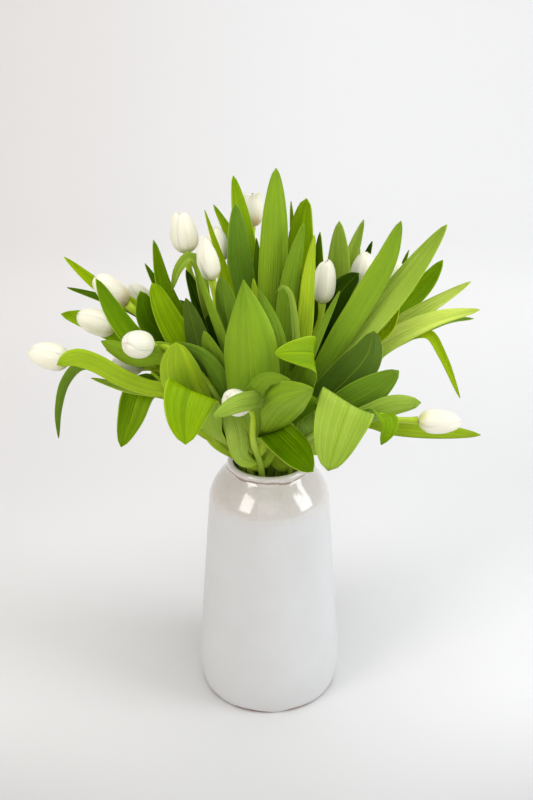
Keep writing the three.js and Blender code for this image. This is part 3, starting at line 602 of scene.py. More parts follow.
@dataclass
class Tree:
    """A node tree of a material or a group, with short ways to add and join its nodes."""

    tree: NodeTree

    def add(self, kind: str, inputs: Inputs | None = None, **values: object) -> Node:
        """Add a node.

        Args:
            kind: The node's type, without the leading ShaderNode.
            inputs: A value, or a socket to join, for each named or numbered input.
            **values: The node's own settings.

        Returns:
            The node.
        """
        node = self.tree.nodes.new("ShaderNode" + kind)
        for name, value in values.items():
            setattr(node, name, value)
        for name, value in (inputs or {}).items():
            self.put(node.inputs[name], value)
        return node

    def put(self, target: NodeSocket, value: object) -> None:
        """Join a socket to an input, or set the input's value.

        Args:
            target: The input.
            value: The socket, the number or the colour.
        """
        if isinstance(value, NodeSocket):
            self.tree.links.new(value, target)
        elif isinstance(value, tuple) and len(value) == 3 and target.type == "RGBA":
            target.default_value = (*value, 1.0)
        else:
            target.default_value = value

    def math(self, operation: str, *values: object) -> NodeSocket:
        """Return the result of a math node."""
        return self.add("Math", dict(enumerate(values)), operation=operation).outputs[0]

    def times(self, first: object, second: object) -> NodeSocket:
        """Return the product of two values."""
        return self.math("MULTIPLY", first, second)

    def apart(self, first: object, second: object) -> NodeSocket:
        """Return how far two values lie apart."""
        return self.math("ABSOLUTE", self.math("SUBTRACT", first, second))

    def ramp(self, value: object, low: float, high: float, start: float, end: float) -> NodeSocket:
        """Map a value from the range low to high onto start to end, and keep it there.

        Args:
            value: The socket to read.
            low: The value that gives start.
            high: The value that gives end.
            start: The result at low.
            end: The result at high.

        Returns:
            The mapped value.
        """
        inputs = {"Value": value, "From Min": low, "From Max": high, "To Min": start, "To Max": end}
        return self.add("MapRange", inputs, interpolation_type="SMOOTHSTEP").outputs[0]

    def patches(self, where: object, scale: object, detail: float) -> NodeSocket:
        """Return a noise in which the low and the high values are spread to 0 and 1."""
        return self.ramp(self.noise(where, scale, detail), 0.3, 0.7, 0.0, 1.0)

    def noise(self, where: object, scale: object, detail: float) -> NodeSocket:
        """Return the value of a noise texture at a place."""
        return self.add("TexNoise", {"Vector": where, "Scale": scale, "Detail": detail}).outputs["Fac"]

    def paint(self, colour: object, *layers: tuple[object, object], how: str = "MIX") -> NodeSocket:
        """Lay colours over one another.

        Args:
            colour: The lowest colour.
            *layers: How much there is of each further layer, and its colour.
            how: The way in which they mix.

        Returns:
            The mixed colour.
        """
        for share, tone in layers:
            node = self.add("Mix", data_type="RGBA", blend_type=how)
            ends = {"Factor": ("VALUE", share), "A": ("RGBA", colour), "B": ("RGBA", tone)}
            for name, (kind, value) in ends.items():
                self.put(next(s for s in node.inputs if s.name == name and s.type == kind), value)
            colour = next(socket for socket in node.outputs if socket.type == "RGBA")
        return colour

    def place(self, kind: str = "Object") -> NodeSocket:
        """Return the object's own coordinates, or those of its UV map."""
        return self.add("TexCoord").outputs[kind]

    def off_middle(self) -> NodeSocket:
        """Return how far across from its midrib a point of a sheet lies, from 0 to a half."""
        return self.apart(self.add("SeparateXYZ", {0: self.place("UV")}).outputs["X"], 0.5)

    def bump(self, height: object, deep: float, strength: float) -> NodeSocket:
        """Return the normal of a surface that a height of 1 raises by so many metres."""
        inputs = {"Height": height, "Distance": deep, "Strength": strength}
        return self.add("Bump", inputs).outputs["Normal"]


class Effect:
    """A node group that more than one finish uses, built once and placed with each one's own values.

    Attributes:
        name: The group's name.
        inputs: Its numbers and their usual values.
        outputs: The names of its results.
    """

    name: str
    inputs: dict[str, float]
    outputs: Sequence[str]

    @classmethod
    def fill(cls, tree: Tree, values: Sockets) -> Sequence[NodeSocket]:
        """Add the group's nodes and return its results."""
        raise NotImplementedError

    @classmethod
    def group(cls) -> NodeTree:
        """Build the group, or find it if it is there.

        Returns:
            The group.
        """
        group = bpy.data.node_groups.get(cls.name)
        if group is None:
            group = bpy.data.node_groups.new(cls.name, "ShaderNodeTree")
            for label, value in cls.inputs.items():
                socket = group.interface.new_socket(label, in_out="INPUT", socket_type="NodeSocketFloat")
                socket.default_value = value
            for label in cls.outputs:
                group.interface.new_socket(label, in_out="OUTPUT", socket_type="NodeSocketFloat")
            source, target = group.nodes.new("NodeGroupInput"), group.nodes.new("NodeGroupOutput")
            results = cls.fill(Tree(group), {label: source.outputs[label] for label in cls.inputs})
            for label, result in zip(cls.outputs, results):
                group.links.new(result, target.inputs[label])
        return group

    @classmethod
    def lay(cls, tree: Tree, **values: object) -> list[NodeSocket]:
        """Place the group in a material.

        Args:
            tree: The material's tree.
            **values: What its inputs are there.

        Returns:
            Its results.
        """
        node = tree.add("Group", values, node_tree=cls.group())
        return [node.outputs[label] for label in cls.outputs]


class Streaks(Effect):
    """The fine and the broad lines that run lengthwise in a blade or a petal, read from its UV map."""

    name = "Streaks"
    inputs = {"Fine": 60.0, "Broad": 14.0, "Along": 1.5, "Grain": 0.0}
    outputs = ("Fine", "Broad")

    @classmethod
    def fill(cls, tree: Tree, values: Sockets) -> Sequence[NodeSocket]:
        """Add the streaks' nodes.

        Args:
            tree: The group's tree.
            values: The group's inputs.

        Returns:
            The fine streaks and the broad ones.
        """
        shift = tree.times(values["Grain"], 40.0)
        away = tree.add("CombineXYZ", {"X": shift, "Y": shift}).outputs[0]
        moved = tree.add("VectorMath", {0: tree.place("UV"), 1: away}, operation="ADD").outputs[0]
        results = []
        for across in (values["Fine"], values["Broad"]):
            size = tree.add("CombineXYZ", {"X": across, "Y": values["Along"], "Z": 1.0}).outputs[0]
            spread = tree.add("VectorMath", {0: moved, 1: size}, operation="MULTIPLY").outputs[0]
            results.append(tree.patches(spread, 1.0, 1.5))
        return results


class Mottle(Effect):
    """The soft cloudy unevenness of a surface, read from its own coordinates."""

    name = "Mottle"
    inputs = {"Scale": 40.0}
    outputs = ("Clouds",)

    @classmethod
    def fill(cls, tree: Tree, values: Sockets) -> Sequence[NodeSocket]:
        """Add the clouds' nodes and return the clouds."""
        return [tree.patches(tree.place(), values["Scale"], 3.0)]


@dataclass(frozen=True)
class Finish:
    """What every finish shares: a Principled surface whose plain values stand on its own sockets."""

    name: str = "Finish"

    def dress(self, tree: Tree) -> Inputs:
        """Add the finish's nodes and return what each of the surface's sockets gets."""
        raise NotImplementedError

    def build(self) -> Material:
        """Make the material.

        Returns:
            The material.
        """
        material = bpy.data.materials.new(self.name)
        material.use_nodes = True
        skin = material.node_tree.nodes["Principled BSDF"]
        tree = Tree(material.node_tree)
        for label, value in self.dress(tree).items():
            tree.put(skin.inputs[label], value)
        return material


@dataclass(frozen=True)
class BladeSkin(Finish):
    """A leaf's waxy skin: its own green, lengthwise veins, a midrib and light margins."""

    name: str = "Leaf_upper_side"
    under: float = 0.0
    rough: float = 0.34
    broad_vein: Colour = (0.62, 0.72, 0.4)
    fine_vein: Colour = (0.7, 0.78, 0.5)
    cloud: Colour = (0.66, 0.76, 0.45)
    midrib: Colour = srgb(178, 206, 30)
    margin: Colour = srgb(182, 206, 60)
    under_side: Colour = srgb(146, 172, 74)

    def dress(self, tree: Tree) -> Inputs:
        """Dress the leaf over its own tint.

        Args:
            tree: The material's tree.

        Returns:
            What each of the surface's sockets gets.
        """
        own = tree.add("Attribute", attribute_name="tint").outputs
        fine, broad = Streaks.lay(tree, Fine=26.0, Broad=6.0, Along=0.7, Grain=own["Alpha"])
        (clouds,) = Mottle.lay(tree, Scale=18.0)
        veins = ((broad, 0.7, self.broad_vein), (fine, 0.5, self.fine_vein), (clouds, 0.5, self.cloud))
        dark = [(tree.times(mask, share), tone) for mask, share, tone in veins]
        rib = tree.ramp(tree.off_middle(), 0.0, 0.03, 0.26, 0.0)
        edge = tree.ramp(tree.off_middle(), 0.462, 0.497, 0.0, 0.42)
        light = [(rib, self.midrib), (edge, self.margin), (self.under, self.under_side)]
        height = tree.math("ADD", broad, tree.times(fine, 0.7))
        return {
            "Base Color": tree.paint(tree.paint(own["Color"], *dark, how="MULTIPLY"), *light),
            "Roughness": tree.ramp(clouds, 0, 1, self.rough - 0.06, self.rough + 0.1),
            "Normal": tree.bump(tree.math("SUBTRACT", height, tree.times(rib, 3.0)), 0.6 * MM, 0.9),
            "Subsurface Weight": 0.3,
            "Subsurface Scale": 2 * MM,
            "Subsurface Radius": (0.7, 1.0, 0.1),
            "Specular IOR Level": 0.26,
            "Specular Tint": (0.75, 1.0, 0.2),
        }


@dataclass(frozen=True)
class StemSkin(Finish):
    """A stem's smooth skin, with faint lengthwise fibres."""

    name: str = "Stem_skin"
    fibre: Colour = (0.7, 0.76, 0.5)

    def dress(self, tree: Tree) -> Inputs:
        """Dress the stem over its own tint.

        Args:
            tree: The material's tree.

        Returns:
            What each of the surface's sockets gets.
        """
        tint = tree.add("Attribute", attribute_name="tint").outputs["Color"]
        long_way = tree.add("Mapping", {"Vector": tree.place(), "Scale": (1.0, 1.0, 0.12)}).outputs[0]
        fibres = tree.patches(long_way, 900.0, 2.0)
        return {
            "Base Color": tree.paint(tint, (tree.times(fibres, 0.3), self.fibre), how="MULTIPLY"),
            "Roughness": tree.ramp(fibres, 0, 1, 0.34, 0.48),
            "Normal": tree.bump(fibres, 0.12 * MM, 0.6),
            "Subsurface Weight": 0.2,
            "Subsurface Scale": 3 * MM,
            "Subsurface Radius": (0.7, 1.0, 0.1),
            "Specular IOR Level": 0.35,
        }


@dataclass(frozen=True)
class PetalSkin(Finish):
    """A petal's satin skin: cream, with fine ribs, and light glowing through it."""

    name: str = "Petal_skin"
    fine_rib: Colour = srgb(224, 220, 176)
    broad_rib: Colour = srgb(226, 216, 168)
    margin: Colour = srgb(252, 251, 244)

    def dress(self, tree: Tree) -> Inputs:
        """Dress the petal over its own tint.

        Args:
            tree: The material's tree.

        Returns:
            What each of the surface's sockets gets.
        """
        own = tree.add("Attribute", attribute_name="tint").outputs
        fine, broad = Streaks.lay(tree, Fine=40.0, Broad=12.0, Along=0.9, Grain=own["Alpha"])
        ribs = [(tree.times(fine, 0.2), self.fine_rib), (tree.times(broad, 0.16), self.broad_rib)]
        edge = tree.ramp(tree.off_middle(), 0.44, 0.5, 0.0, 0.5)
        return {
            "Base Color": tree.paint(own["Color"], *ribs, (edge, self.margin)),
            "Roughness": tree.ramp(broad, 0, 1, 0.4, 0.52),
            "Normal": tree.bump(tree.math("ADD", fine, broad), 0.22 * MM, 0.8),
            "Subsurface Weight": 0.2,
            "Subsurface Scale": 3 * MM,
            "Subsurface Radius": (1.0, 0.95, 0.75),
            "Specular IOR Level": 0.4,
            "Sheen Weight": 0.12,
        }


@dataclass(frozen=True)
class Glaze(Finish):
    """The vase's pale satin glaze, with a glossier dip over its shoulder and bare clay at its edges.

    Attributes:
        name: The material's name.
        body: The glaze of its side.
        dip: The glaze of its shoulder and lip.
        cloud: The tone of its soft clouds.
        speck: The colour of its fine specks.
        craze: The colour of the fine cracks in the dip.
        clay: The bare clay at its foot and in its groove.
        dip_line: The height down to which it is dipped, in metres.
        groove: The height of the bare line under its lip.
        wander: How far both go up and down.
    """

    name: str = "Stoneware_glaze"
    body: Colour = srgb(208, 208, 208)
    dip: Colour = srgb(204, 198, 192)
    cloud: Colour = srgb(190, 184, 178)
    speck: Colour = srgb(150, 138, 126)
    craze: Colour = srgb(146, 130, 118)
    clay: Colour = srgb(128, 94, 74)
    dip_line: float = 0.243
    groove: float = 0.2752
    wander: float = 0.004

    def dress(self, tree: Tree) -> Inputs:
        """Dress the vase in its two glazes, told apart by height.

        Args:
            tree: The material's tree.

        Returns:
            What each of the surface's sockets gets.
        """
        where = tree.place()
        (clouds,) = Mottle.lay(tree, Scale=26.0)
        wander = tree.times(tree.math("SUBTRACT", clouds, 0.5), self.wander)
        level = tree.math("ADD", tree.add("SeparateXYZ", {0: where}).outputs["Z"], wander)
        dipped = tree.ramp(level, self.dip_line - 0.012, self.dip_line + 0.008, 0.0, 1.0)
        specks = tree.ramp(tree.noise(where, 900.0, 3.0), 0.7, 0.78, 0.0, 0.35)
        cells = tree.add("TexVoronoi", {"Vector": where, "Scale": 95.0}, feature="DISTANCE_TO_EDGE")
        cracks = tree.times(tree.ramp(cells.outputs[0], 0.0, 0.035, 0.16, 0.0), dipped)
        line = tree.ramp(tree.apart(level, self.groove), 0.4 * MM, 1.6 * MM, 0.75, 0.0)
        bare = tree.math("MAXIMUM", line, tree.ramp(level, 1.2 * MM, 3 * MM, 0.9, 0.0))
        layers = (dipped, self.dip), (tree.times(clouds, 0.12), self.cloud), (specks, self.speck)
        return {
            "Base Color": tree.paint(self.body, *layers, (cracks, self.craze), (bare, self.clay)),
            "Roughness": tree.ramp(dipped, 0, 1, 0.42, 0.16),
            "Coat Weight": tree.ramp(dipped, 0, 1, 0.25, 0.9),
            "Coat Roughness": 0.05,
            "Normal": tree.bump(tree.noise(where, 140.0, 2.0), 0.6 * MM, 0.25),
        }


@dataclass(frozen=True)
class ClearWater(Finish):
    """Clear water, faintly green from the stems."""

    name: str = "Vase_water"

    def dress(self, tree: Tree) -> Inputs:
        """Dress the water, with its surface barely stirred.

        Args:
            tree: The material's tree.

        Returns:
            What each of the surface's sockets gets.
        """
        return {
            "Base Color": srgb(226, 240, 232),
            "Roughness": 0.02,
            "Transmission Weight": 1.0,
            "IOR": 1.333,
            "Normal": tree.bump(tree.noise(tree.place(), 60.0, 1.0), 0.3 * MM, 0.3),
        }


@dataclass(frozen=True)
class PaleGround(Finish):
    """The pale floor and backdrop, with painted shade on the floor, in front of the vase and on the left.

    Attributes:
        name: The material's name.
        left: Its colour on the left, a little darker as painted shade.
        right: Its colour on the right.
        floor_shade: How much painted shade darkens the floor against the backdrop.
        front_shade: How much more painted shade it gets towards the front.
        corner_shade: By what share more painted shade it gets at the sides.
    """

    name: str = "Pale_ground"
    left: Colour = srgb(236, 232, 229)
    right: Colour = srgb(245, 245, 245)
    floor_shade: float = 0.185
    front_shade: float = 0.3
    corner_shade: float = 0.3

    def dress(self, tree: Tree) -> Inputs:
        """Dress the ground, with painted shade on the floor and in front of the vase.

        Args:
            tree: The material's tree.

        Returns:
            What each of the surface's sockets gets.
        """
        where = tree.add("SeparateXYZ", {0: tree.place()}).outputs
        across = tree.math("ABSOLUTE", where["X"])
        floor = (
            tree.ramp(where["Y"], 0.4, 1.4, self.floor_shade, 0.0),
            tree.ramp(across, 0.6, 2.2, 1.0, 0.0),
            tree.ramp(where["Y"], -1.8, -0.3, 0.0, 1.0),
        )
        front = (
            tree.ramp(where["Y"], -0.4, 0.0, self.front_shade, 0.0),
            tree.ramp(across, 0.1, 0.35, 1.0, 1.0 + self.corner_shade),
            tree.ramp(across, 0.3, 0.9, 1.0, 0.0),
            tree.ramp(where["Y"], -0.45, -0.2, 0.0, 1.0),
        )
        # painted shade: a darker floor, a darker front and darker corners
        shade = tree.math("ADD", reduce(tree.times, floor), reduce(tree.times, front))
        from_left = tree.ramp(where["X"], -0.9, 0.3, 0.0, 1.0)
        return {
            "Base Color": tree.paint(self.left, (from_left, self.right), (shade, (0.0, 0.0, 0.0))),
            "Roughness": 0.9,
            "Specular IOR Level": 0.1,
        }


@dataclass
class Piece:
    """A piece of the object: a mesh built by its class, then dressed and set on the frame.

    Attributes:
        name: The piece's name.
        slot: The record's material slot; not used.
        node: The node that it stands for.
        finishes: Its materials, in the order of its slots.
    """

    name: str
    slot: str
    node: str
    finishes: Sequence[Material]

    def shape(self, mesh: BMesh) -> None:
        """Build the piece's mesh, in metres, where it lies."""
        raise NotImplementedError

    def finish_shape(self, piece: Object) -> None:
        """Add the modifiers that the piece needs; most need none."""

    def make(self) -> None:
        """Build the piece, dress it and put it on the frame."""
        mesh = bmesh.new()
        self.shape(mesh)
        piece = show_mesh(self.name, mesh, self.finishes)
        self.finish_shape(piece)
        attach(piece, BODY)
        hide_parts(self.node)
        LOG.info("%s: %d faces", self.name, len(piece.data.polygons))


@dataclass(frozen=True)
class Shade:
    """The painted shade that darkens the greens deep inside the bunch, where the shadow is deepest.

    Attributes:
        middle: The middle of the dark part.
        reach: How far the bunch reaches from it along each axis.
        dark: The share of the colour that is left in the middle.
        inner: Up to which share of the reach it is as dark.
        outer: From which share on it isn't dark at all.
    """

    middle: Triple = (0.0, 0.06, 0.4)
    reach: Triple = (0.18, 0.13, 0.15)
    dark: float = 0.2
    inner: float = 0.25
    outer: float = 0.8

    def at(self, spot: Vector) -> float:
        """Return the share of the colour that is left at a point."""
        away = math.sqrt(sum(((a - b) / c) ** 2 for a, b, c in zip(spot, self.middle, self.reach)))
        return mix(self.dark, 1.0, ease(self.inner, self.outer, away))


SHADE = Shade()


@dataclass
class StemRun:
    """The way of one stem: from the vase's floor through the mouth to its bloom.

    Attributes:
        tulip: The tulip.
        foot_height: How high the stem's foot stands.
        neck_plane: The height at which its place in the mouth is given.
        spiral: How far the stems turn round the axis on their way down.
        spread: How much wider apart they stand on the floor than in the mouth.
        in_bloom: How long the last stretch in line with the bloom is.
        middle: The share of the way to the mouth at which it is still straight.
    """

    tulip: Tulip
    foot_height: float = 8.9 * MM
    neck_plane: float = 286 * MM
    spiral: float = math.pi / 3
    spread: float = 1.3
    in_bloom: float = 20 * MM
    middle: float = 0.6

    def __post_init__(self) -> None:
        """Find the bloom's place and direction, and lay the stem's line."""
        bloom, layer = self.tulip.bloom, self.tulip.layer
        self.base = WINDOW.place(bloom.base, layer)
        tip = WINDOW.place(bloom.tip, layer)
        tip = tip.lerp(EYE, bloom.near * MM / (tip.y - EYE.y))
        self.bloom_axis = (tip - self.base).normalized()
        right, back = (value * MM for value in self.tulip.mouth)
        turned = Vector((right, back, 0)) * self.spread
        turned.rotate(Quaternion((0, 0, 1), self.spiral))
        foot = Vector((turned.x, turned.y, self.foot_height))
        mouth = Vector((right, back, self.neck_plane))
        upper = [WINDOW.place(spot, layer) for spot in self.tulip.stem]
        last = self.base - self.bloom_axis * self.in_bloom
        self.line = Line([foot, foot.lerp(mouth, self.middle), mouth, *upper, last, self.base])
        self.mouth_share = (mouth - foot).length / self.line.length

    def root(self, start: float) -> Vector:
        """Return the point of the stem that lies some millimetres above the mouth."""
        return self.line.point(self.mouth_share + start * MM / self.line.length)


@dataclass
class Stem(Piece):
    """A tulip's round stem, swollen a little where it holds its bloom.

    Attributes:
        run: Its way.
        sides: How many sides its section has.
        radius: Its radius at the foot.
        top_radius: Its radius under the bloom.
        step: How far apart its rings are.
        least_rows: How many stretches between rings it has at least.
        swelling: By what share it swells under the bloom.
        swells_from: The share of its length from which it swells.
        pales: The shares of its length between which it grows paler.
    """

    run: StemRun
    sides: int = 14
    radius: float = 3.7 * MM
    top_radius: float = 3.1 * MM
    step: float = 9 * MM
    least_rows: int = 8
    swelling: float = 0.35
    swells_from: float = 0.975
    pales: Spot = (0.72, 0.92)

    def ring(self, share: float) -> Section:
        """Find the stem's section at a share of its length.

        Args:
            share: The share.

        Returns:
            Its centre, two directions across and its radius.
        """
        along = self.run.line.tangent(share)
        side = (Vector((1, 0, 0)) - along * along.x).normalized()
        swell = 1 + self.swelling * ease(self.swells_from, 1.0, share)
        radius = mix(self.radius, self.top_radius, share) * swell
        return self.run.line.point(share), side, side.cross(along), radius

    def shape(self, mesh: BMesh) -> None:
        """Build the stem as a drum whose rings follow its line.

        Args:
            mesh: The mesh to build it in.
        """
        rows = max(self.least_rows, round(self.run.line.length / self.step))
        drum = {"segments": self.sides, "radius1": 1, "radius2": 1, "depth": 1}
        bmesh.ops.create_cone(mesh, cap_ends=True, cap_tris=False, **drum)
        upright = [edge for edge in mesh.edges if abs(edge.verts[0].co.z - edge.verts[1].co.z) > 0.5]
        bmesh.ops.subdivide_edges(mesh, edges=upright, cuts=rows - 1, use_grid_fill=True)
        paint = mesh.verts.layers.float_color.new("tint")
        rings: dict[float, Section] = {}
        for vertex in mesh.verts:
            share = round(vertex.co.z + 0.5, 5)
            if share not in rings:
                rings[share] = self.ring(share)
            centre, side, front, radius = rings[share]
            tint = blend(STEM_GREEN, STEM_TOP, ease(*self.pales, share))
            vertex.co = centre + (side * vertex.co.x + front * vertex.co.y) * radius
            # painted shade: the stem's tint darkens deep inside the bunch
            vertex[paint] = (*(value * SHADE.at(vertex.co) for value in tint), 1.0)
        bmesh.ops.recalc_face_normals(mesh, faces=mesh.faces)


class Sheet:
    """A leaf or a petal: a grid bent onto a curved sheet, with its UV map and its tint.

    Attributes:
        grain: A number that sets its streaks apart from those of other sheets.
        grains: The range from which grains are drawn.
    """

    grain: float
    grains: Spot = (0.05, 0.95)

    def at(self, across: float, share: float) -> tuple[Vector, Colour]:
        """Return the point and the tint for a place across, from -1 to 1, and a share of the length."""
        raise NotImplementedError

    def lay(self, mesh: BMesh, columns: int, rows: int) -> None:
        """Add the sheet to a mesh.

        Args:
            mesh: The mesh.
            columns: Its faces from side to side.
            rows: Its faces from root to tip.
        """
        uv = mesh.loops.layers.uv.verify()
        paint = mesh.verts.layers.float_color.get("tint") or mesh.verts.layers.float_color.new("tint")
        made = bmesh.ops.create_grid(mesh, x_segments=columns, y_segments=rows, size=1.0)
        for vertex in made["verts"]:
            across, share = vertex.co.x, (vertex.co.y + 1) / 2
            for loop in vertex.link_loops:
                loop[uv].uv = ((across + 1) / 2, share)
            vertex.co, tint = self.at(across, share)
            vertex[paint] = (*tint, self.grain)


@dataclass
class Sheets(Piece):
    """A piece of thin sheets: all the leaves, or all the petals, of one tulip.

    Attributes:
        run: The way of their stem.
        thick: How thick they are.
    """

    run: StemRun
    thick: float = 0.8 * MM

    def finish_shape(self, piece: Object) -> None:
        """Give the sheets their thickness, with the last finish on their under sides.

        Args:
            piece: The sheets' object.
        """
        wall = piece.modifiers.new("Thickness", "SOLIDIFY")
        wall.thickness = self.thick
        wall.offset = 0
        wall.material_offset = len(self.finishes) - 1


@dataclass
class Blade(Sheet):
    """The surface of one leaf.

    Attributes:
        leaf: The leaf.
        run: The way of its stem.
        chance: The seeded source of its small differences.
        core_rise: How far above its middle the point of the bunch's axis lies that its face turns to.
        base_cup: How far its edges lift where it clasps the stem, as a share of half its width.
        cup_reach: The share of its length over which it opens.
        wave_counts: The range of how often its edges wave.
        wave_starts: The shares of its length between which they begin to.
        lights: The range of how light it is.
        own_green: The share of its length from which it has its own green.
        clasp: The width of its sheath at most, as a share of its own.
        tip_half: Half the width of its tip.
        face_step: How long its faces are.
        least_rows: How many faces long it is at least.
        columns: How many faces wide it is if it is narrow, and if it is wide.
        narrow: The width, in millimetres, up to which it is narrow.
    """

    leaf: Leaf
    run: StemRun
    chance: random.Random
    core_rise: float = 60 * MM
    base_cup: float = 0.95
    cup_reach: float = 0.2
    wave_counts: Spot = (1.3, 2.4)
    wave_starts: Spot = (0.1, 0.35)
    lights: Spot = (1.02, 1.2)
    own_green: float = 0.4
    clasp: float = 0.6
    tip_half: float = 0.35 * MM
    face_step: float = 5 * MM
    least_rows: int = 14
    columns: tuple[int, int] = (10, 14)
    narrow: float = 18

    def __post_init__(self) -> None:
        """Lay the leaf's line and choose its waves."""
        course, layers = self.leaf.course, self.leaf.layers
        last = len(course) - 1
        spots = [WINDOW.place(spot, mix(*layers, i / last)) for i, spot in enumerate(course)]
        self.line = Line([self.run.root(self.leaf.start), *spots])
        face, side = self.sides(0.5)
        middle = self.line.point(0.5)
        core = Vector((-middle.x, -middle.y, self.core_rise))
        self.signs = math.copysign(1, face.dot(core)), math.copysign(1, side.dot(core))
        self.waves = self.chance.uniform(*self.wave_counts)
        self.phases = self.chance.uniform(0, math.tau), self.chance.uniform(0, math.tau)
        self.light = self.chance.uniform(*self.lights)
        self.grain = self.chance.uniform(*self.grains)
        self.sections: dict[float, Section] = {}

    def sides(self, share: float) -> tuple[Vector, Vector]:
        """Find the directions square to the leaf's line.

        Args:
            share: The share of its length.

        Returns:
            The direction to the eye and the one to the side.
        """
        along = self.line.tangent(share)
        sight = (self.line.point(share) - EYE).normalized()
        side = along.cross(sight).normalized()
        return side.cross(along), side

    def half(self, share: float) -> float:
        """Find half the leaf's width.

        Args:
            share: The share of its length.

        Returns:
            Half the width, in metres.
        """
        full, widest = self.leaf.wide / 2, self.leaf.widest
        if share < widest:
            start = min(self.leaf.sheath, self.leaf.wide * self.clasp) / 2
            return mix(start, full, math.sin(math.pi / 2 * share / widest)) * MM
        taper = math.cos(math.pi / 2 * (share - widest) / (1 - widest))
        return max(self.tip_half, full * max(0.0, taper) ** self.leaf.taper * MM)

    def section(self, share: float) -> Section:
        """Find the leaf's section.

        Args:
            share: The share of its length.

        Returns:
            Its middle, its face, the way across and half its width.
        """
        key = round(share, 5)
        if key not in self.sections:
            along = self.line.tangent(share)
            if self.leaf.across:
                root, tip = self.leaf.across
                wide = WINDOW.towards(*(mix(a, b, share) for a, b in zip(root, tip)))
                wide = (wide - along * wide.dot(along)).normalized()
                face = wide.cross(along)
            else:
                turn = math.radians(mix(*self.leaf.turn, share))
                face, side = self.sides(share)
                face = face * self.signs[0] * math.cos(turn) + side * self.signs[1] * math.sin(turn)
                wide = along.cross(face)
            self.sections[key] = self.line.point(share), face, wide, self.half(share)
        return self.sections[key]

    def at(self, across: float, share: float) -> tuple[Vector, Colour]:
        """Find a point of the leaf, cupped round the stem, then folded a little, with waved edges.

        Args:
            across: The place across, from -1 to 1.
            share: The share of its length.

        Returns:
            The point and its colour, which is paler at the root and darkened by painted shade deep inside
            the bunch.
        """
        middle, face, wide, half = self.section(share)
        cup = mix(self.base_cup, self.leaf.fold, ease(0, self.cup_reach, share))
        lift = cup * (1 - math.cos(math.pi / 2 * across))
        phase = self.phases[0] if across < 0 else self.phases[1]
        swing = math.sin(math.tau * self.waves * share + phase)
        lift += self.leaf.wave * swing * abs(across) ** 3 * ease(*self.wave_starts, share)
        spot = middle + wide * (across * half) + face * (lift * half)
        # painted shade: the leaf's colour darkens deep inside the bunch
        light = self.light * SHADE.at(spot)
        body = blend(ROOT_GREEN, self.leaf.green.value, ease(0.0, self.own_green, share))
        red, green, blue = (min(1.0, value * light) for value in body)
        return spot, (red, green, blue)

    def build(self, mesh: BMesh) -> None:
        """Add the leaf to a mesh, with faces that suit its size."""
        rows = max(self.least_rows, round(self.line.length / self.face_step))
        self.lay(mesh, self.columns[self.leaf.wide > self.narrow], rows)


@dataclass
class Leaves(Sheets):
    """All the leaves of one tulip."""

    def shape(self, mesh: BMesh) -> None:
        """Build each leaf's blade.

        Args:
            mesh: The mesh to build them in.
        """
        chance = random.Random(self.name)
        for leaf in self.run.tulip.leaves:
            Blade(leaf, self.run, chance).build(mesh)


@dataclass(frozen=True)
class Flush:
    """How a petal is tinted: green-yellow or amber at its base, with a faint streak up its middle.

    Attributes:
        strength: How much of the base's colour there is at the base.
        fades: The heights between which it fades, as shares of the bloom's length.
        warm_reach: How much higher it reaches in an amber bloom.
        streak: How much of it there is in the streak.
        streak_half: Half the streak's width, as a share of half the petal's.
        streak_fades: The heights between which the streak fades.
    """

    strength: float = 0.8
    fades: Spot = (0.03, 0.26)
    warm_reach: float = 0.2
    streak: float = 0.22
    streak_half: float = 0.35
    streak_fades: Spot = (0.3, 0.9)

    def at(self, across: float, height: float, amber: float) -> Colour:
        """Find the colour at a place of a petal.

        Args:
            across: The place across, from -1 to 1.
            height: The height, as a share of the bloom's length.
            amber: How warm the bloom's base is, from 0 to 1.

        Returns:
            The colour.
        """
        low, high = self.fades
        flush = 1 - ease(low, high + self.warm_reach * amber, height)
        middle = 1 - ease(0.0, self.streak_half, abs(across))
        streak = self.streak * middle * (1 - ease(*self.streak_fades, height))
        share = min(1.0, self.strength * flush + streak)
        return blend(CREAM, blend(BLOOM_BASE, AMBER, amber), share)


FLUSH = Flush()


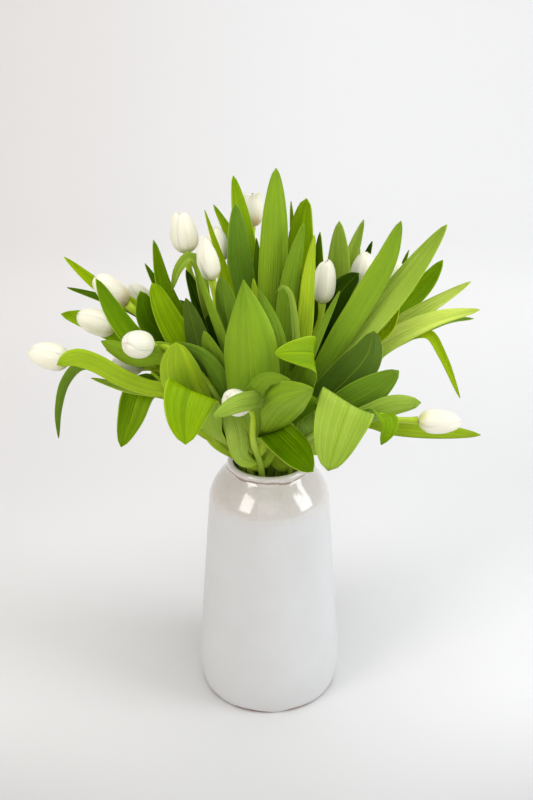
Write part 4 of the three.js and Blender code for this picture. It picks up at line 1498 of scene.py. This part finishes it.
@dataclass
class Petal(Sheet):
    """One petal of a bloom.

    Attributes:
        petals: The bloom that it belongs to.
        number: Its number round the bloom; the even ones are the outer ones.
        chance: The seeded source of its small differences.
        astray: How far from its place round the bloom it stands at most, in radians.
        leans: The range of how far its tip stands out, in millimetres.
        inner_reach: The length of an inner petal, as a share of an outer one's.
        reaches: The range of how much longer it is, as a share of the bloom's length.
        edge: How far inside the bloom's width, in millimetres, its layer lies.
        blunt: The girth of an open bloom's upper half, as a share of half its width.
        opens: The shares of its length between which an open bloom grows blunt.
        slim: By what share a pointed bloom is slimmer at its tip.
        slims_from: The share of its length from which it is.
        inner_open: How far the inner petals open, as a share of how far the outer ones do.
        parts: The share of its length over which the two layers part.
        meets_from: The share of its length from which they meet again in a closed bloom.
        least: The least radius at which it stands.
        wrap: How far round the bloom it reaches to each side at most, in radians.
        clasp: How far its edges draw in.
        clasps: The shares of its length between which they begin to.
        ridge: How far its middle stands out.
        ridges: The shares of its length between which it begins to.
        notch: How far its corners are lower than its tip, as a share of its length.
        notch_from: The share of its length from which they are.
    """

    petals: "Petals"
    number: int
    chance: random.Random
    astray: float = 0.1
    leans: Spot = (-0.6, 0.9)
    inner_reach: float = 0.95
    reaches: Spot = (-0.045, 0.015)
    edge: float = 0.5
    blunt: float = 0.86
    opens: Spot = (0.4, 0.85)
    slim: float = 0.5
    slims_from: float = 0.3
    inner_open: float = 0.25
    parts: float = 0.1
    meets_from: float = 0.82
    least: float = 0.3 * MM
    wrap: float = 1.25
    clasp: float = 0.5 * MM
    clasps: Spot = (0.3, 0.9)
    ridge: float = 0.3 * MM
    ridges: Spot = (0.2, 0.5)
    notch: float = 0.05
    notch_from: float = 0.6

    def __post_init__(self) -> None:
        """Choose the petal's lean and reach."""
        self.outer = self.number % 2 == 0
        self.centre = self.number * math.pi / 3 + self.chance.uniform(-self.astray, self.astray)
        self.lean = self.chance.uniform(*self.leans) * MM
        self.reach = (1.0 if self.outer else self.inner_reach) + self.chance.uniform(*self.reaches)
        self.half_wide = (self.petals.bloom.wide / 2 - self.edge) * MM
        self.grain = self.chance.uniform(*self.grains)

    def span(self, share: float) -> float:
        """Return half the width of the petal, as a share of half the bloom's width."""
        return 0.30 + 0.95 * math.sin(math.pi * min(1.0, share * 0.94 + 0.03)) ** 0.8 - 0.22 * share

    def girth(self, share: float) -> Spot:
        """Find how wide and how high the bloom is at a share of the petal's length.

        Args:
            share: The share.

        Returns:
            The radius as a share of half the width, and the height as a share of the length.
        """
        bloom = self.petals.bloom
        outline = self.petals.outline.point(share)
        radius = outline.x * (1 - self.slim * bloom.point * ease(self.slims_from, 1.0, share))
        opened = bloom.open * (1.0 if self.outer else self.inner_open)
        radius = mix(radius, max(radius, self.blunt), opened * ease(*self.opens, share))
        return radius, outline.y

    def at(self, across: float, share: float) -> tuple[Vector, Colour]:
        """Find a point of the petal.

        Args:
            across: The place across, from -1 to 1.
            share: The share of its length.

        Returns:
            The point and its colour.
        """
        girth, level = self.girth(share)
        closed = 1 - ease(self.meets_from, 1.0, share) * (1 - self.petals.bloom.open)
        apart = self.petals.step / 2 * ease(0, self.parts, share) * closed
        radius = girth * self.half_wide + (apart if self.outer else -apart)
        radius = max(radius + self.lean * share**3 * closed, self.least)
        turn = self.centre + min(self.wrap, self.span(share) * self.half_wide / radius) * across
        radius -= self.clasp * abs(across) ** 3 * ease(*self.clasps, share)
        radius += self.ridge * math.cos(math.pi * across) * ease(*self.ridges, share)
        height = level * self.reach - self.notch * across**2 * ease(self.notch_from, 1.0, share)
        height *= self.petals.bloom.long * MM
        spot = Vector((-math.cos(turn) * radius, height, math.sin(turn) * radius))
        spot.rotate(self.petals.turned)
        return self.petals.base + spot, FLUSH.at(across, level, self.petals.bloom.amber)


@dataclass
class Petals(Sheets):
    """A bloom: three outer petals over three inner ones.

    Attributes:
        thick: How thick a petal is.
        step: How far an outer petal stands out over an inner one.
        gap: The room between the stem and the bloom.
        columns: A petal's faces from side to side.
        rows: A petal's faces from base to tip.
        profile: The closed bloom's outline: radius as a share of half its width, height of its length.
    """

    thick: float = 0.55 * MM
    step: float = 1.5 * MM
    gap: float = 0.3 * MM
    columns: int = 16
    rows: int = 26
    profile: tuple[Spot, ...] = (
        (0.13, 0.0),
        (0.6, 0.08),
        (0.93, 0.24),
        (1.0, 0.42),
        (0.92, 0.65),
        (0.64, 0.86),
        (0.34, 0.96),
        (0.04, 1.0),
    )

    def __post_init__(self) -> None:
        """Set the bloom on its stem."""
        self.bloom = self.run.tulip.bloom
        self.base = self.run.base + self.run.bloom_axis * self.gap
        self.turned = Vector((0, 1, 0)).rotation_difference(self.run.bloom_axis)
        self.outline = Line([Vector((radius, height, 0)) for radius, height in self.profile])

    def shape(self, mesh: BMesh) -> None:
        """Build the six petals.

        Args:
            mesh: The mesh to build them in.
        """
        chance = random.Random(self.name)
        for number in range(6):
            Petal(self, number, chance).lay(mesh, self.columns, self.rows)


@dataclass(frozen=True)
class VaseSizes:
    """The vase's sizes in millimetres."""

    height: float = 282
    body_radius: float = 79
    body_from: float = 40
    foot_radius: float = 72
    foot_round: float = 1.2
    shoulder_radius: float = 64.7
    shoulder_from: float = 237.7
    shoulder_pull: float = 20
    neck_radius: float = 44.4
    neck_from: float = 276.2
    neck_flare: float = 1.4
    neck_drop: float = 4
    lip_round: float = 3.3
    lip_middle: float = 41.6
    wall: float = 5.5
    floor: float = 8
    corner: float = 36
    inner_drop: float = 2
    water_level: float = 185
    gap: float = 0.3


@dataclass
class Turned(Piece):
    """A piece turned about the vase's axis from an outline of radius and height, in millimetres.

    Attributes:
        sizes: The vase's sizes.
        steps: How many steps its turn has.
    """

    sizes: VaseSizes = VaseSizes()
    steps: int = 144

    def outline(self) -> list[Spot]:
        """Return the outline, from the axis round to the axis."""
        raise NotImplementedError

    @staticmethod
    def arc(middle: Spot, size: Spot, start: float, end: float, count: int) -> list[Spot]:
        """Find points of an elliptic arc.

        Args:
            middle: Its middle.
            size: Its half axes.
            start: Its first angle in degrees, from outwards towards up.
            end: Its last angle.
            count: How many steps it has.

        Returns:
            The points.
        """
        angles = [math.radians(mix(start, end, i / count)) for i in range(count + 1)]
        return [(middle[0] + size[0] * math.cos(a), middle[1] + size[1] * math.sin(a)) for a in angles]

    @staticmethod
    def bend(count: int, *points: Spot) -> list[Spot]:
        """Find points of the cubic curve that four points steer.

        Args:
            count: How many steps it has.
            *points: The four points.

        Returns:
            The points.
        """
        made = []
        for i in range(count + 1):
            t = i / count
            weights = ((1 - t) ** 3, 3 * (1 - t) ** 2 * t, 3 * (1 - t) * t * t, t**3)
            made.append(tuple(sum(w * p[k] for w, p in zip(weights, points)) for k in (0, 1)))
        return made

    def shape(self, mesh: BMesh) -> None:
        """Spin the outline into a closed shell.

        Args:
            mesh: The mesh to build it in.
        """
        rims = [mesh.verts.new((radius * MM, 0, height * MM)) for radius, height in self.outline()]
        edges = [mesh.edges.new(pair) for pair in zip(rims, rims[1:])]
        turn = {"cent": (0, 0, 0), "axis": (0, 0, 1), "angle": math.tau, "steps": self.steps}
        bmesh.ops.spin(mesh, geom=[*rims, *edges], use_merge=True, **turn)
        bmesh.ops.remove_doubles(mesh, verts=mesh.verts, dist=1e-6)
        bmesh.ops.recalc_face_normals(mesh, faces=mesh.faces)


@dataclass
class Vase(Turned):
    """The stoneware vase."""

    def outline(self) -> list[Spot]:
        """Draw the outline: foot, side, shoulder, rolled lip, and back down inside.

        Returns:
            Its points.
        """
        v = self.sizes
        edge, swell = v.foot_radius - v.foot_round, v.body_radius - v.foot_radius
        foot = self.arc((edge, v.foot_round), (v.foot_round, v.foot_round), -90, -20, 4)
        side = self.arc((v.foot_radius, v.body_from), (swell, v.body_from), -85, 0, 20)
        ends = (v.body_radius, v.shoulder_radius), (v.body_from, v.shoulder_from)
        slope = [tuple(mix(*pair, i / 16) for pair in ends) for i in range(1, 17)]
        shoulder = self.bend(
            18,
            (v.shoulder_radius, v.shoulder_from),
            (v.shoulder_radius - v.neck_flare, v.shoulder_from + v.shoulder_pull),
            (v.neck_radius - v.neck_flare, v.neck_from - v.neck_drop),
            (v.neck_radius, v.neck_from),
        )
        lip = self.arc((v.lip_middle, v.height - v.lip_round), (v.lip_round, v.lip_round), -17, 180, 16)
        neck, wide = v.lip_middle - v.lip_round, v.shoulder_radius - v.wall
        inside = self.bend(
            10,
            (neck, v.neck_from - v.neck_drop),
            (neck, v.neck_from - 3 * v.neck_drop),
            (wide, v.shoulder_from + v.shoulder_pull - v.inner_drop),
            (wide, v.shoulder_from - v.inner_drop),
        )
        low = v.body_radius - 3 * v.wall
        corner = self.arc((low, v.floor + v.corner), (2 * v.wall, v.corner), 0, -90, 8)
        return [(0, 0), *foot, *side, *slope, *shoulder[1:], *lip, *inside, *corner, (0, v.floor)]


@dataclass
class Water(Turned):
    """The water, with its skin drawn up a little at the wall.

    Attributes:
        meniscus: How far it is drawn up.
        fall: How far apart the points are at which its skin falls again.
    """

    meniscus: float = 1.6
    fall: float = 3

    def outline(self) -> list[Spot]:
        """Draw the outline: floor, wall and surface.

        Returns:
            Its points.
        """
        v = self.sizes
        inner_body = v.body_radius - v.wall - v.gap
        top = v.floor + v.corner
        rise = (v.water_level - top) / (v.shoulder_from - v.inner_drop - top)
        wall = mix(inner_body, v.shoulder_radius - v.wall - v.gap, rise)
        low = self.arc((inner_body - 2 * v.wall, top), (2 * v.wall, v.corner - v.gap), -90, 0, 8)
        skin = [(wall - self.fall * i, v.water_level - self.meniscus * (1 - math.exp(-i))) for i in range(4)]
        return [(0, v.floor + v.gap), *low, *skin, (0, v.water_level - self.meniscus)]


@dataclass
class Plant:
    """One tulip as it stands in the vase: its stem, its leaves and its bloom.

    Attributes:
        tulip: The tulip.
        stem: Its stem's finish.
        blade: The finishes of its leaves' upper and under sides.
        petal: Its petals' finish.
    """

    tulip: Tulip
    stem: Material
    blade: Sequence[Material]
    petal: Material

    def build(self) -> None:
        """Build its three pieces."""
        name, run = self.tulip.name, StemRun(self.tulip)
        greens, bloom = name + "_greens", name + "_bloom"
        Stem(name + "_stem", "stems_and_leaves", greens, [self.stem], run).make()
        Leaves(name + "_leaves", "stems_and_leaves", greens, self.blade, run).make()
        Petals(name + "_petals", "petals", bloom, [self.petal], run).make()


@dataclass(frozen=True)
class Lamp:
    """A window-like lamp: its place and size in metres, its power, its colour and the place it looks at."""

    name: str
    place: Triple
    size: Spot
    power: float
    colour: Colour = (1.0, 1.0, 1.0)
    aim: Triple = (0.0, 0.0, 0.3)

    def hang(self) -> None:
        """Hang the lamp."""
        data = bpy.data.lights.new(self.name, "AREA")
        data.shape = "RECTANGLE"
        data.size, data.size_y = self.size
        data.energy = self.power
        data.color = self.colour
        lamp = show(self.name, data)
        lamp.location = self.place
        lamp.rotation_mode = "QUATERNION"
        lamp.rotation_quaternion = (Vector(self.aim) - Vector(self.place)).to_track_quat("-Z", "Y")


@dataclass
class Studio:
    """The pale ground, the soft lights and the camera.

    Attributes:
        lens: The camera's lens in millimetres.
        sensor: Its sensor in millimetres.
        room: The strength of the room's light.
        room_colour: The colour of the room's light.
        middle: The middle of the oval floor, in metres.
        floor: Its half axes, up to where it bends up.
        sweep: The radius of that bend.
        wall: How high the wall goes on above it.
        faces: The ground's faces round its middle and outwards.
        lamps: The lamps.
    """

    lens: float = 54.0
    sensor: float = 36.0
    room: float = 0.55
    room_colour: Colour = (0.97, 0.98, 1.0)
    middle: Spot = (0.0, -4.4)
    floor: Spot = (7.0, 6.0)
    sweep: float = 1.2
    wall: float = 1.6
    faces: tuple[int, int] = (96, 72)
    lamps: tuple[Lamp, ...] = (
        Lamp("left_window", (-1.45, -1.35, 1.15), (0.85, 1.15), 17, (1.0, 0.97, 0.92)),
        Lamp("right_window", (2.0, -0.6, 1.0), (1.1, 1.4), 26, (0.95, 0.97, 1.0)),
        Lamp("ceiling", (0.2, -0.3, 2.6), (1.6, 1.6), 26),
        Lamp("front_fill", (-0.1, -2.3, 1.5), (1.8, 1.2), 3.5, (1.0, 0.99, 0.97)),
        Lamp("backdrop_wash", (0.0, 0.8, 2.3), (1.8, 0.5), 4.2, aim=(0.0, 2.3, 0.1)),
    )

    def ground(self) -> None:
        """Lay the oval floor, which sweeps up into a low wall all round."""
        mesh = bmesh.new()
        round_middle, outwards = self.faces
        made = bmesh.ops.create_grid(mesh, x_segments=round_middle, y_segments=outwards, size=1.0)
        arc = math.pi / 2 * self.sweep
        for vertex in made["verts"]:
            angle, share = math.pi * vertex.co.x, (vertex.co.y + 1) / 2
            beyond = max(0.0, share - 0.5) * 2 * (arc + self.wall)
            turn = min(beyond, arc) / self.sweep
            out = min(1.0, share * 2)
            grown = self.sweep * math.sin(turn)
            right = self.middle[0] + (self.floor[0] * out + grown) * math.sin(angle)
            back = self.middle[1] + (self.floor[1] * out + grown) * math.cos(angle)
            up = self.sweep * (1 - math.cos(turn)) + max(0.0, beyond - arc)
            vertex.co = Vector((right, back, up))
        bmesh.ops.remove_doubles(mesh, verts=mesh.verts, dist=1e-4)
        ground = show_mesh("ground", mesh, [PaleGround().build()])

    def lights(self) -> None:
        """Light the bunch: a pale room, a warm window on the left and a cool, brighter one on the right."""
        world = bpy.data.worlds.new("room")
        world.use_nodes = True
        room = world.node_tree.nodes["Background"].inputs
        room["Color"].default_value = (*self.room_colour, 1.0)
        room["Strength"].default_value = self.room
        bpy.context.scene.world = world
        for lamp in self.lamps:
            lamp.hang()

    def camera(self) -> None:
        """Set the camera at the eye, looking down at the bunch."""
        data = bpy.data.cameras.new("eye")
        data.sensor_width = self.sensor
        data.lens = self.lens
        camera = show("eye", data)
        camera.location = EYE
        camera.rotation_euler = (math.pi / 2 - WINDOW.look_down, 0, 0)
        bpy.context.scene.camera = camera

    def build(self) -> None:
        """Set up the whole studio."""
        self.camera()
        self.ground()
        self.lights()
        bpy.context.scene.view_settings.view_transform = "Standard"


def main() -> None:
    """Build the studio, the vase with its water, and each tulip in turn."""
    logging.basicConfig(level=logging.INFO, format="%(message)s")
    Studio().build()
    Vase("glazed_vase", "glazed_stoneware", "vase", [Glaze().build()]).make()
    Water("vase_water", "water", "water", [ClearWater().build()]).make()
    blade = [BladeSkin().build(), BladeSkin(name="Leaf_under_side", under=0.25, rough=0.5).build()]
    stem, petal = StemSkin().build(), PetalSkin().build()
    for tulip in TULIPS:
        Plant(tulip, stem, blade, petal).build()


if __name__ == "__main__":
    main()
